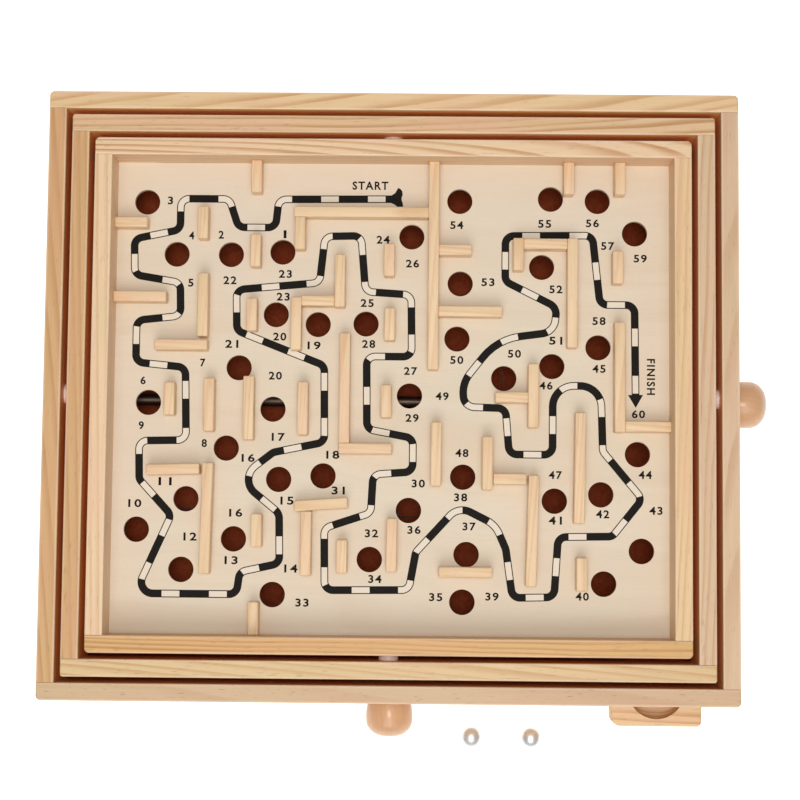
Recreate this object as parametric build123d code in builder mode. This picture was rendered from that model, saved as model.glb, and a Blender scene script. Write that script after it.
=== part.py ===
from build123d import *

import math
import os

# Tilt maze game: an open wooden box that holds two nested tilting frames. The inner frame carries a
# board with holes and low wall strips. A knob on the right turns a shaft whose cord tilts the outer
# of the two frames, and a knob at the front turns the shaft whose cord tilts the inner one. A ball
# that drops through a hole rolls down a sloping floor and out of a port into a small tray.
#
# Frame: +X to the right, +Y to the back, +Z up, with the origin at the middle of the box's underside.

# ---------------------------------------------------------------- driving dimensions, in millimetres
box_length = 355.0  # outside, along X
box_depth = 312.0  # outside, along Y
box_height = 90.0
stock = 9.0  # thickness of every wall and rail
corner_radius = 2.5  # upright corners of the box
middle_corner_radius = 1.5  # of the middle frame
maze_corner_radius = 2.5  # of the maze frame
edge_easing = 0.8  # rounding of the long edges

frame_gap = 3.0  # between one frame and the next
rail_height = 28.0
pivot_drop = 14.0  # pivot axes, below the rail tops

board_drop = 21.0  # board's top face, below the rail tops
board_thickness = 3.0
groove_depth = 3.0  # how far the board is let into the rails
hole_diameter = 13.2
strip_width = 5.5
strip_height = 9.5

base_thickness = 4.0
rabbet_width = 4.5
nail_diameter = 1.2
nail_length = 12.0
nail_head_diameter = 2.6
nail_head_thickness = 0.8
long_nail_xs = (-120.0, 0.0, 120.0)  # of the nails into the front and back walls
side_nail_ys = (-90.0, 90.0)  # of the nails into the side walls

floor_thickness = 3.0
floor_fall_x = 1.5  # degrees down towards the right
floor_fall_y = 2.5  # degrees down towards the front
batten_width = 8.0

shaft_diameter = 6.0
shaft_spacing = 3.0  # between the shaft along Y and the one along X, which passes over it
bush_wall = 1.5
bush_flange = 2.0  # how far the flange stands out from the bush
bush_flange_thickness = 1.5
blind_depth = 6.0  # of a bush or a pin in a wall
collar_wall = 2.5
collar_length = 4.0

knob_diameter = 25.0
knob_length = 22.0
knob_neck_inset = 2.2  # how much less the radius is at the wall than at the bulge
knob_bulge_length = 11.0  # from the wall's end to the bulge
knob_shoulder_inset = 0.1
knob_shoulder_length = 13.0  # where the rounding of the outer end begins
knob_rim_inset = 10.5  # where the rounding ends
knob_crown = 0.3  # height of the shallow dome on the end
knob_socket_depth = 15.0

cord_diameter = 1.0
cord_turns = 4
right_cord_x = 60.0
front_cord_y = -60.0
eye_wire = 1.2
eye_ring_radius = 2.6  # to the middle of the wire
eye_shank = 7.0
spring_diameter = 4.5
spring_length = 20.0

pivot_pin_diameter = 3.0
pivot_pin_reach = 7.0  # into the rail that turns on it
spacer_diameter = 10.0

port_width = 30.0
port_height = 17.0
port_corner = 3.0
tray_inset = 8.25  # from the box's right side
tray_length = 49.0
tray_reach = 17.5  # in front of the box
tray_height = 14.0
tray_left_corner = 5.0
tray_right_corner = 3.0
tray_rim = 4.0  # left in front of the pocket
pocket_radius = 15.3
pocket_floor = 5.0
pocket_bottom_radius = 3.0
guide_reach = 15.0  # of the corner block that leads balls to the port

ball_diameter = 12.0
ball_stand_off = 25.0  # from the box's front, where two balls wait for play
ball_insets = (133.0, 100.5)  # from the box's right side

# ---------------------------------------------------------------- clearances
running_clearance = 0.05  # radial, of a shaft or a pin in its bore
spacer_clearance = 0.3  # left in each gap beside a spacer
side_clearance = 0.3  # between a collar and its bush
knob_clearance = 0.6  # between a knob and its wall
cord_clearance = 0.4  # between a cord's run and its winding
bush_clearance = 0.2  # between the floor and the bush above its back edge

# ---------------------------------------------------------------- worked-out places
inner_length = box_length - 2 * stock
inner_depth = box_depth - 2 * stock
middle_length = inner_length - 2 * frame_gap
middle_depth = inner_depth - 2 * frame_gap
maze_length = middle_length - 2 * stock - 2 * frame_gap
maze_depth = middle_depth - 2 * stock - 2 * frame_gap
opening_length = maze_length - 2 * stock
opening_depth = maze_depth - 2 * stock

rail_bottom = box_height - rail_height
pivot_height = box_height - pivot_drop
board_top = box_height - board_drop
board_bottom = board_top - board_thickness
half_strip = strip_width / 2

middle_rail_y = (middle_depth - stock) / 2  # middle of the middle frame's front and back rails
maze_rail_x = (maze_length - stock) / 2  # middle of the maze frame's side rails

shaft_radius = shaft_diameter / 2
bush_radius = shaft_radius + running_clearance + bush_wall
winding_radius = shaft_radius + cord_diameter
cord_line = shaft_radius + cord_diameter / 2  # from a shaft's axis to the middle of its cord
winding_length = cord_turns * cord_diameter
run_offset = (winding_length - cord_diameter) / 2  # of each run, from the middle of the winding

# The floor falls to the front right corner, where its underside rests on the base. The shaft along Y
# clears it at the back wall, and the shaft along X clears the shaft along Y.
fall_x = math.tan(math.radians(floor_fall_x))
fall_y = math.tan(math.radians(floor_fall_y))
floor_depth_upright = floor_thickness * math.hypot(1, fall_x, fall_y)
floor_at_back_bush = base_thickness + floor_depth_upright + fall_x * inner_length / 2 + fall_y * inner_depth
front_shaft_height = floor_at_back_bush + bush_clearance + bush_radius + bush_flange
right_shaft_height = front_shaft_height + shaft_diameter + shaft_spacing

tray_centre_x = box_length / 2 - tray_inset - tray_length / 2
ball_y = -box_depth / 2 - ball_stand_off

os.makedirs("parts", exist_ok=True)


def save(part, label):
    """Label a finished piece and write it to its own STEP file."""
    part.label = label
    export_step(part, f"parts/{label}.step")


def facing_x(x, y, z):
    """A plane at a point, looking along +X."""
    return Plane(origin=(x, y, z), x_dir=(0, 1, 0), z_dir=(1, 0, 0))


def facing_y(x, y, z):
    """A plane at a point, looking along +Y."""
    return Plane(origin=(x, y, z), x_dir=(1, 0, 0), z_dir=(0, 1, 0))


# ---------------------------------------------------------------- box: walls
# The front and back walls run the full length, and the side walls butt between them.
rabbet_length = inner_length + 2 * rabbet_width
rabbet_depth = inner_depth + 2 * rabbet_width
nail_inset = rabbet_width / 2
nail_x = rabbet_length / 2 - nail_inset
nail_y = rabbet_depth / 2 - nail_inset
long_nails = [(x, side * nail_y) for x in long_nail_xs for side in (-1, 1)]
side_nails = [(side * nail_x, y) for y in side_nail_ys for side in (-1, 1)]

for label, side in (("front_wall", -1), ("back_wall", 1)):
    inner_y = side * inner_depth / 2
    with BuildPart() as long_wall:
        with BuildSketch():
            with Locations((0, side * (box_depth - stock) / 2)):
                Rectangle(box_length, stock)
        extrude(amount=box_height)
        outer_corners = long_wall.edges().filter_by(Axis.Z).sort_by(Axis.Y)
        fillet(outer_corners[:2] if side < 0 else outer_corners[-2:], corner_radius)
        fillet(long_wall.faces().sort_by(Axis.Z)[-1].edges(), edge_easing)
        with BuildSketch():
            Rectangle(rabbet_length, rabbet_depth)
        extrude(amount=base_thickness, mode=Mode.SUBTRACT)
        with BuildSketch(Plane.XY.offset(base_thickness)):
            with Locations(*long_nails):
                Circle(nail_diameter / 2)
        extrude(amount=nail_length - base_thickness, mode=Mode.SUBTRACT)
        with BuildSketch(facing_y(0, inner_y, front_shaft_height)):
            Circle(bush_radius)
        extrude(amount=side * (stock if side < 0 else blind_depth), mode=Mode.SUBTRACT)
        if side < 0:
            port_middle = pocket_floor + port_height / 2
            with BuildSketch(facing_y(tray_centre_x, inner_y, port_middle)):
                RectangleRounded(port_width, port_height, port_corner)
            extrude(amount=-stock, mode=Mode.SUBTRACT)
    save(long_wall.part, label)

for label, side in (("left_wall", -1), ("right_wall", 1)):
    inner_x = side * inner_length / 2
    with BuildPart() as side_wall:
        with BuildSketch():
            with Locations((side * (box_length - stock) / 2, 0)):
                Rectangle(stock, inner_depth)
        extrude(amount=box_height)
        fillet(side_wall.edges().filter_by(Axis.Y).group_by(Axis.Z)[-1], edge_easing)
        with BuildSketch():
            Rectangle(rabbet_length, rabbet_depth)
        extrude(amount=base_thickness, mode=Mode.SUBTRACT)
        with BuildSketch(Plane.XY.offset(base_thickness)):
            with Locations(*side_nails):
                Circle(nail_diameter / 2)
        extrude(amount=nail_length - base_thickness, mode=Mode.SUBTRACT)
        with BuildSketch(facing_x(inner_x, 0, right_shaft_height)):
            Circle(bush_radius)
        extrude(amount=side * (stock if side > 0 else blind_depth), mode=Mode.SUBTRACT)
        with BuildSketch(facing_x(inner_x, 0, pivot_height)):
            Circle(pivot_pin_diameter / 2)
        extrude(amount=side * blind_depth, mode=Mode.SUBTRACT)
    save(side_wall.part, label)

# ---------------------------------------------------------------- box: base and its nails
with BuildPart() as base_panel:
    with BuildSketch():
        Rectangle(rabbet_length, rabbet_depth)
    extrude(amount=base_thickness)
    with BuildSketch():
        with Locations(*long_nails, *side_nails):
            Circle(nail_diameter / 2)
    extrude(amount=base_thickness, mode=Mode.SUBTRACT)
    with BuildSketch():
        with Locations(*long_nails, *side_nails):
            Circle(nail_head_diameter / 2)
    extrude(amount=nail_head_thickness, mode=Mode.SUBTRACT)
save(base_panel.part, "base_panel")

with BuildPart() as base_nails:
    with BuildSketch():
        with Locations(*long_nails, *side_nails):
            Circle(nail_diameter / 2)
    extrude(amount=nail_length)
    with BuildSketch():
        with Locations(*long_nails, *side_nails):
            Circle(nail_head_diameter / 2)
    extrude(amount=nail_head_thickness)
save(base_nails.part, "base_nails")

# ---------------------------------------------------------------- box: sloping floor under the board
low_corner = (inner_length / 2, -inner_depth / 2, base_thickness)
floor_underside = Plane(origin=low_corner, z_dir=(fall_x, -fall_y, 1))
floor_topside = floor_underside.offset(floor_thickness)

with BuildPart() as catch_floor:
    with BuildSketch(Plane.XY.offset(base_thickness)):
        Rectangle(inner_length, inner_depth)
    extrude(amount=rail_bottom - base_thickness)
    split(bisect_by=floor_topside, keep=Keep.BOTTOM)
    split(bisect_by=floor_underside, keep=Keep.TOP)
save(catch_floor.part, "catch_floor")

with BuildPart() as back_batten:
    with BuildSketch(Plane.XY.offset(base_thickness)):
        with Locations((0, (inner_depth - batten_width) / 2)):
            Rectangle(inner_length, batten_width)
    extrude(amount=rail_bottom - base_thickness)
    split(bisect_by=floor_underside, keep=Keep.BOTTOM)
save(back_batten.part, "back_batten")

with BuildPart() as left_batten:
    with BuildSketch(Plane.XY.offset(base_thickness)):
        with Locations(((batten_width - inner_length) / 2, -batten_width / 2)):
            Rectangle(batten_width, inner_depth - batten_width)
    extrude(amount=rail_bottom - base_thickness)
    split(bisect_by=floor_underside, keep=Keep.BOTTOM)
save(left_batten.part, "left_batten")

# A block in the low corner keeps balls from stopping beside the port.
port_right = tray_centre_x + port_width / 2
guide_height = pocket_floor + port_height
with BuildPart() as corner_guide:
    with BuildSketch(Plane.XY.offset(base_thickness)):
        with BuildLine():
            Polyline(
                (inner_length / 2, -inner_depth / 2),
                (inner_length / 2, -inner_depth / 2 + guide_reach),
                (port_right, -inner_depth / 2),
                close=True,
            )
        make_face()
    extrude(amount=guide_height - base_thickness)
    split(bisect_by=floor_topside, keep=Keep.TOP)
save(corner_guide.part, "corner_guide")

# ---------------------------------------------------------------- box: ball tray
with BuildPart() as ball_tray:
    with BuildSketch():
        with Locations((tray_centre_x, -(box_depth + tray_reach) / 2)):
            Rectangle(tray_length, tray_reach)
    extrude(amount=tray_height)
    fillet(ball_tray.edges().filter_by(Axis.Z).group_by(Axis.Y)[0].sort_by(Axis.X)[0], tray_left_corner)
    fillet(ball_tray.edges().filter_by(Axis.Z).group_by(Axis.Y)[0].sort_by(Axis.X)[-1], tray_right_corner)
    fillet(ball_tray.faces().sort_by(Axis.Z)[-1].edges().sort_by(Axis.Y)[:-1], edge_easing)
    with BuildSketch(Plane.XY.offset(pocket_floor)):
        with Locations((tray_centre_x, tray_rim + pocket_radius - box_depth / 2 - tray_reach)):
            Circle(pocket_radius)
    extrude(amount=tray_height, mode=Mode.SUBTRACT)
    pocket_corner = ball_tray.edges().filter_by(GeomType.CIRCLE).filter_by_position(
        Axis.Z, pocket_floor, pocket_floor
    )
    fillet(pocket_corner, pocket_bottom_radius)
save(ball_tray.part, "ball_tray")

# ---------------------------------------------------------------- the two tilting frames
# Each has full-length front and back rails, with the side rails butted between them.
frames = {
    "middle": (middle_length, middle_depth),
    "maze": (maze_length, maze_depth),
}
eye_hole_radius = eye_wire / 2
for frame_name, (length, depth) in frames.items():
    carries_board = frame_name == "maze"
    rounding = maze_corner_radius if carries_board else middle_corner_radius
    for label, side in (("front_rail", -1), ("back_rail", 1)):
        middle_y = side * (depth - stock) / 2
        with BuildPart() as long_rail:
            with BuildSketch(Plane.XY.offset(rail_bottom)):
                with Locations((0, middle_y)):
                    Rectangle(length, stock)
            extrude(amount=rail_height)
            outer_corners = long_rail.edges().filter_by(Axis.Z).sort_by(Axis.Y)
            fillet(outer_corners[:2] if side < 0 else outer_corners[-2:], rounding)
            fillet(long_rail.faces().sort_by(Axis.Z)[-1].edges(), edge_easing)
            if carries_board:
                # The board's groove, and the running bore for the frame's pivot pin.
                with BuildSketch(Plane.XY.offset(board_bottom)):
                    Rectangle(opening_length + 2 * groove_depth, opening_depth + 2 * groove_depth)
                extrude(amount=board_thickness, mode=Mode.SUBTRACT)
                with BuildSketch(facing_y(0, side * depth / 2, pivot_height)):
                    Circle(pivot_pin_diameter / 2 + running_clearance)
                extrude(amount=-side * (pivot_pin_reach + side_clearance), mode=Mode.SUBTRACT)
            else:
                # The hole that holds the next frame's pivot pin, and the cord eye's hole.
                with BuildSketch(facing_y(0, side * (depth / 2 - stock), pivot_height)):
                    Circle(pivot_pin_diameter / 2)
                extrude(amount=side * blind_depth, mode=Mode.SUBTRACT)
                with BuildSketch(Plane.XY.offset(rail_bottom)):
                    with Locations((right_cord_x - side * run_offset, middle_y)):
                        Circle(eye_hole_radius)
                extrude(amount=eye_shank, mode=Mode.SUBTRACT)
        save(long_rail.part, f"{frame_name}_{label}")

    for label, side in (("left_rail", -1), ("right_rail", 1)):
        middle_x = side * (length - stock) / 2
        with BuildPart() as side_rail:
            with BuildSketch(Plane.XY.offset(rail_bottom)):
                with Locations((middle_x, 0)):
                    Rectangle(stock, depth - 2 * stock)
            extrude(amount=rail_height)
            fillet(side_rail.edges().filter_by(Axis.Y).group_by(Axis.Z)[-1], edge_easing)
            if carries_board:
                with BuildSketch(Plane.XY.offset(board_bottom)):
                    Rectangle(opening_length + 2 * groove_depth, opening_depth + 2 * groove_depth)
                extrude(amount=board_thickness, mode=Mode.SUBTRACT)
                with BuildSketch(Plane.XY.offset(rail_bottom)):
                    with Locations((middle_x, front_cord_y - side * run_offset)):
                        Circle(eye_hole_radius)
                extrude(amount=eye_shank, mode=Mode.SUBTRACT)
            else:
                with BuildSketch(facing_x(side * length / 2, 0, pivot_height)):
                    Circle(pivot_pin_diameter / 2 + running_clearance)
                extrude(amount=-side * (pivot_pin_reach + side_clearance), mode=Mode.SUBTRACT)
        save(side_rail.part, f"{frame_name}_{label}")

# ---------------------------------------------------------------- pivot pins and their spacers
# The middle frame turns on pins in the side walls, and the maze frame on pins in the middle frame.
pin_length = blind_depth + frame_gap + pivot_pin_reach
spacer_length = frame_gap - spacer_clearance
pivots = {
    "left": (facing_x(-inner_length / 2, 0, pivot_height), 1),
    "right": (facing_x(inner_length / 2, 0, pivot_height), -1),
    "front": (facing_y(0, -(middle_depth / 2 - stock), pivot_height), 1),
    "back": (facing_y(0, middle_depth / 2 - stock, pivot_height), -1),
}
for place, (face, inward) in pivots.items():
    with BuildPart() as pivot_pin:
        with BuildSketch(face.offset(-inward * blind_depth)):
            Circle(pivot_pin_diameter / 2)
        extrude(amount=inward * pin_length)
    save(pivot_pin.part, f"{place}_pivot_pin")

    with BuildPart() as pivot_spacer:
        with BuildSketch(face):
            Circle(spacer_diameter / 2)
            Circle(pivot_pin_diameter / 2, mode=Mode.SUBTRACT)
        extrude(amount=inward * spacer_length)
    save(pivot_spacer.part, f"{place}_pivot_spacer")

# ---------------------------------------------------------------- maze board and its holes
# Places are from the board's middle: x to the right and y to the back.
hole_places = [
    (-129.0, 102.0), (-84.5, 74.5), (-113.0, 74.5), (-57.5, 76.0), (35.0, 103.5),
    (10.0, 84.5), (35.5, 60.0), (82.5, 105.0), (107.0, 104.0), (126.5, 87.0),
    (78.0, 69.0), (-60.5, 43.0), (-38.5, 38.0), (-13.5, 38.5), (-79.5, 15.0),
    (34.0, 31.0), (107.5, 27.0), (58.5, 10.5), (83.5, 17.0), (-126.5, -3.5),
    (-61.5, -6.5), (9.5, 1.0), (-85.5, -27.0), (-106.0, -53.5), (-58.0, -43.0),
    (-35.0, -41.0), (37.5, -41.0), (9.5, -58.5), (-131.5, -69.5), (-81.0, -74.0),
    (-108.0, -90.0), (85.0, -53.0), (109.0, -49.5), (128.0, -28.5), (130.0, -78.5),
    (110.5, -95.5), (-10.5, -84.0), (39.5, -81.0), (37.5, -105.5), (-60.5, -102.5),
]

with BuildPart() as maze_board:
    with BuildSketch(Plane.XY.offset(board_bottom)):
        Rectangle(opening_length + 2 * groove_depth, opening_depth + 2 * groove_depth)
        with Locations(*hole_places):
            Circle(hole_diameter / 2, mode=Mode.SUBTRACT)
    extrude(amount=board_thickness)
save(maze_board.part, "maze_board")

# ---------------------------------------------------------------- wall strips on the board
# The strips are cut from one moulding to seven lengths. Each is placed by its middle and its turn in
# degrees from the X axis. A strip that meets a rail or another strip takes its place from it.
rail_left = -opening_length / 2
rail_right = opening_length / 2
rail_front = -opening_depth / 2
rail_back = opening_depth / 2
across, upright = 0.0, 90.0

short, stub, medium, long_cut = 17.0, 22.5, 27.5, 33.0
barrier, beam, divider = 57.0, 70.0, 109.0

divider_x = 21.5
beam_y = 96.0
north_post_x, north_bar_y = 65.5, 80.0
north_barrier_x = north_post_x + half_strip + stub + half_strip
east_barrier_x, gate_y = 118.0, -14.5
gate_length = rail_right - east_barrier_x - half_strip
centre_post_x, centre_bar_y = -24.0, -27.0
west_post_x = -49.5
bracket_x = 73.5
south_barrier_x = 73.2

strip_groups = {
    "short_strips": (short, [
        (rail_left + short / 2, 90.0, across),
        (-98.5, 90.0, upright),
        (-71.0, rail_back - short / 2, upright),
        (-71.0, 75.5, upright),
        (-48.0, beam_y - half_strip - short / 2, upright),
        (-1.5, 71.0, upright),
        (divider_x + half_strip + short / 2, 76.5, across),
        (91.5, rail_back - short / 2, upright),
        (118.0, rail_back - short / 2, upright),
        (north_post_x, 74.5, upright),
        (117.0, 68.0, upright),
        (-114.5, -2.0, upright),
        (-72.5, 42.0, upright),
        (west_post_x + half_strip + short / 2, 49.5, across),
        (-1.0, 37.5, upright),
        (-2.5, -2.5, upright),
        (bracket_x - half_strip - short / 2, 0.0, across),
        (61.5, -42.0, across),
        (-68.5, -69.5, upright),
        (-24.5, -82.5, upright),
        (-69.5, rail_front + short / 2, upright),
        (98.5, -90.5, upright),
    ]),
    "stub_strips": (stub, [
        (north_post_x + half_strip + stub / 2, north_bar_y, across),
    ]),
    "medium_strips": (medium, [
        (-27.0, 60.0, upright),
        (rail_left + medium / 2, 51.0, across),
        (-109.0, 26.0, across),
        (-94.0, -5.0, upright),
        (-112.0, -38.5, across + 1.5),
        (west_post_x, 37.5, upright),
        (centre_post_x - half_strip + medium / 2, centre_bar_y, across),
        (-45.5, -6.5, upright),
        (50.0, -34.0, upright),
        (-35.5, -56.0, across + 4.0),
        (1.0, -76.5, upright),
        (39.0, -90.0, across),
    ]),
    "long_strips": (long_cut, [
        (-98.0, 47.0, upright),
        (divider_x + half_strip + long_cut / 2, 44.5, across),
        (-73.5, -6.5, upright),
        (bracket_x, 1.0, upright),
        (23.5, -29.5, upright),
        (-43.0, -76.0, upright),
    ]),
    "barrier_strips": (barrier, [
        (north_barrier_x, 54.5, upright),
        (-94.5, -63.5, upright - 1.2),
        (centre_post_x, centre_bar_y + half_strip + barrier / 2, upright),
        (97.5, -36.0, upright - 0.8),
        (south_barrier_x, -68.5, upright - 1.5),
        (east_barrier_x, 11.0, upright),
    ]),
    "gate_strip": (gate_length, [
        (rail_right - gate_length / 2, gate_y, across),
    ]),
    "beam_strip": (beam, [
        (divider_x - half_strip - beam / 2, beam_y, across),
    ]),
    "divider_strip": (divider, [
        (divider_x, rail_back - divider / 2, upright),
    ]),
}
for label, (length, places) in strip_groups.items():
    with BuildPart() as strips:
        with BuildSketch(Plane.XY.offset(board_top)):
            for x, y, turn in places:
                with Locations((x, y)):
                    Rectangle(length, strip_width, rotation=turn)
        extrude(amount=strip_height)
    save(strips.part, label)

# ---------------------------------------------------------------- shafts, bushes, collars and knobs
# One drive is built along +X, from the blind bush to the knob, and one along -Y.
knob_radius = knob_diameter / 2
half_turn_share = math.sqrt(0.5)  # of each radius, half-way round an elliptical corner
drives = {
    "right": (Plane(origin=(0, 0, right_shaft_height), x_dir=(0, 1, 0), z_dir=(1, 0, 0)), box_length),
    "front": (Plane(origin=(0, 0, front_shaft_height), x_dir=(1, 0, 0), z_dir=(0, -1, 0)), box_depth),
}
winding_places = {"right": right_cord_x, "front": -front_cord_y}
for place, (middle, span) in drives.items():
    wall_outside = span / 2
    wall_inside = wall_outside - stock
    knob_back = wall_outside + knob_clearance

    with BuildPart() as shaft:
        with BuildSketch(middle.offset(-wall_inside - blind_depth + side_clearance)):
            Circle(shaft_radius)
        extrude(amount=wall_inside + blind_depth - side_clearance + knob_back + knob_socket_depth)
    save(shaft.part, f"{place}_shaft")

    # A bush is a sleeve in the wall with a flange against the wall's inner face.
    for bush_name, inside, outward, depth in (
        (f"{place}_shaft_bush", wall_inside, 1, stock),
        (f"{place}_shaft_end_bush", -wall_inside, -1, blind_depth),
    ):
        with BuildPart() as bush:
            with BuildSketch(middle.offset(inside)):
                Circle(bush_radius)
            extrude(amount=outward * depth)
            with BuildSketch(middle.offset(inside)):
                Circle(bush_radius + bush_flange)
            extrude(amount=-outward * bush_flange_thickness)
            with BuildSketch(middle.offset(inside - outward * bush_flange_thickness)):
                Circle(shaft_radius + running_clearance)
            extrude(amount=outward * (bush_flange_thickness + depth), mode=Mode.SUBTRACT)
        save(bush.part, bush_name)

    with BuildPart() as collar:
        with BuildSketch(middle.offset(wall_inside - bush_flange_thickness - side_clearance)):
            Circle(shaft_radius + collar_wall)
            Circle(shaft_radius, mode=Mode.SUBTRACT)
        extrude(amount=-collar_length)
    save(collar.part, f"{place}_shaft_collar")

    # The knob bulges a little and is rounded well over to a shallow dome at its outer end.
    knob_plane = Plane(origin=middle.offset(knob_back).origin, x_dir=middle.x_dir, z_dir=-middle.y_dir)
    neck = (knob_radius - knob_neck_inset, 0)
    bulge = (knob_radius, knob_bulge_length)
    shoulder = (knob_radius - knob_shoulder_inset, knob_shoulder_length)
    rim = (knob_radius - knob_rim_inset, knob_length - knob_crown)
    half_way = (
        rim[0] + (shoulder[0] - rim[0]) * half_turn_share,
        shoulder[1] + (rim[1] - shoulder[1]) * half_turn_share,
    )
    with BuildPart() as knob:
        with BuildSketch(knob_plane):
            with BuildLine():
                Line((0, 0), neck)
                ThreePointArc(neck, bulge, shoulder)
                ThreePointArc(shoulder, half_way, rim)
                Line(rim, (0, knob_length))
                Line((0, knob_length), (0, 0))
            make_face()
        revolve(axis=Axis(knob_plane.origin, middle.z_dir))
        with BuildSketch(middle.offset(knob_back)):
            Circle(shaft_radius)
        extrude(amount=knob_socket_depth, mode=Mode.SUBTRACT)
    save(knob.part, f"{place}_knob")

    with BuildPart() as winding:
        with BuildSketch(middle.offset(winding_places[place] - winding_length / 2)):
            Circle(winding_radius)
            Circle(shaft_radius, mode=Mode.SUBTRACT)
        extrude(amount=winding_length)
    save(winding.part, f"{place}_cord_winding")

# ---------------------------------------------------------------- cord eyes, runs and springs
# Each run leaves the top of its winding and climbs straight to an eye under a rail. One run of each
# pair ends in a spring that keeps the cord tight.
eye_neck = 1.0  # between the rail and the middle of the ring's wire
eye_height = rail_bottom - eye_neck - eye_ring_radius
eye_reach = eye_ring_radius + eye_wire / 2
run_start = math.sqrt(winding_radius**2 - shaft_radius**2) + cord_clearance
spring_hook = 2.0  # between the eye and the spring's coils

along_x, along_y = Vector(1, 0, 0), Vector(0, 1, 0)
up = Vector(0, 0, 1)
right_shaft_at = Vector(right_cord_x, 0, right_shaft_height)
front_shaft_at = Vector(0, front_cord_y, front_shaft_height)
# name: shaft's middle under the run, way to the eye, distance to the eye, whether a spring ends it
runs = {
    "right_cord_front": (right_shaft_at + along_x * run_offset, -along_y, middle_rail_y, False),
    "right_cord_back": (right_shaft_at - along_x * run_offset, along_y, middle_rail_y, True),
    "front_cord_left": (front_shaft_at + along_y * run_offset, -along_x, maze_rail_x, False),
    "front_cord_right": (front_shaft_at - along_y * run_offset, along_x, maze_rail_x, True),
}
for name, (axis_point, way, distance, sprung) in runs.items():
    eye_middle = axis_point + way * distance + up * (eye_height - axis_point.Z)
    with BuildPart() as cord_eye:
        ring_turn = (0, 90, 0) if way.X == 0 else (90, 0, 0)
        with Locations(eye_middle):
            Torus(eye_ring_radius, eye_wire / 2, rotation=ring_turn)
        with BuildSketch(Plane(origin=eye_middle + up * eye_ring_radius)):
            Circle(eye_wire / 2)
        extrude(amount=eye_neck + eye_shank)
    save(cord_eye.part, f"{name}_eye")

    # The run is tangent to the top of the winding's middle line.
    climb = eye_height - axis_point.Z
    reach = math.hypot(distance, climb)
    slope = math.atan2(climb, distance) - math.asin(cord_line / reach)
    run_way = way * math.cos(slope) + up * math.sin(slope)
    run_up = up * math.cos(slope) - way * math.sin(slope)
    tangent_point = axis_point + run_up * cord_line
    run_end = math.sqrt(reach**2 - cord_line**2) - eye_reach
    cord_end = run_end - spring_hook - spring_length if sprung else run_end
    with BuildPart() as cord_run:
        with BuildSketch(Plane(origin=tangent_point + run_way * run_start, z_dir=run_way)):
            Circle(cord_diameter / 2)
        extrude(amount=cord_end - run_start)
    save(cord_run.part, f"{name}_run")

    if sprung:
        with BuildPart() as cord_spring:
            with BuildSketch(Plane(origin=tangent_point + run_way * cord_end, z_dir=run_way)):
                Circle(spring_diameter / 2)
            extrude(amount=spring_length)
            hook_start = tangent_point + run_way * (run_end - spring_hook)
            with BuildSketch(Plane(origin=hook_start, z_dir=run_way)):
                Circle(eye_wire / 2)
            extrude(amount=spring_hook)
        save(cord_spring.part, f"{name}_spring")

# ---------------------------------------------------------------- balls
for number, inset in enumerate(ball_insets, start=1):
    with BuildPart() as ball:
        with Locations((box_length / 2 - inset, ball_y, ball_diameter / 2)):
            Sphere(ball_diameter / 2)
    save(ball.part, f"ball_{number}")
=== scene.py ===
"""Looks of a wooden tilt maze game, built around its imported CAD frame.

Lengths are in metres once they reach a mesh or a shader. The classes hold the sizes that a maker would
quote in millimetres and turn them with MM.
"""

import logging
import math
import random
from dataclasses import dataclass, field
from enum import Enum
from typing import Iterable, Optional, Union

import bmesh
import bpy
from mathutils import Matrix, Vector


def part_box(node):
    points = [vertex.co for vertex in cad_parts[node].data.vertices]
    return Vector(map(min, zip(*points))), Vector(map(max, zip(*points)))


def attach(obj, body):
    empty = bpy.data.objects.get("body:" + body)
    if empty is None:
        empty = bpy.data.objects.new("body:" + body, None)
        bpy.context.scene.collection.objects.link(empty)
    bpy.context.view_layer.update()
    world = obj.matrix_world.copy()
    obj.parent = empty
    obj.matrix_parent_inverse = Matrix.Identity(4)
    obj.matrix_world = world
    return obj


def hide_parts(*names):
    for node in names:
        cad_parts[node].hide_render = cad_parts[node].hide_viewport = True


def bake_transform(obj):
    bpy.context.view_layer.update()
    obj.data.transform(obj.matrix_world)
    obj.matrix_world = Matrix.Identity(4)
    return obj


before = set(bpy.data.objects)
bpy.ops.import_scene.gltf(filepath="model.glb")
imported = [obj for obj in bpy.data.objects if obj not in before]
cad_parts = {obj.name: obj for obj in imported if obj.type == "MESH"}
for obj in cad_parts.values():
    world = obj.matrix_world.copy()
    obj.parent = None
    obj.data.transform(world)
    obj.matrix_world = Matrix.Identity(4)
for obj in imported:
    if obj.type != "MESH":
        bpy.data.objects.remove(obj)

MM = 0.001

log = logging.getLogger("tilt_maze")

Colour = tuple[float, float, float, float]
Station = tuple[float, float]


def srgb(red: int, green: int, blue: int) -> Colour:
    """Turn an 8-bit display colour into the linear one that shaders take.

    Args:
        red: Red, 0 to 255.
        green: Green, 0 to 255.
        blue: Blue, 0 to 255.

    Returns:
        The linear colour with full alpha.
    """
    shares = [level / 255 for level in (red, green, blue)]
    linear = [share / 12.92 if share < 0.0405 else ((share + 0.055) / 1.055) ** 2.4 for share in shares]
    return (linear[0], linear[1], linear[2], 1.0)


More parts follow.
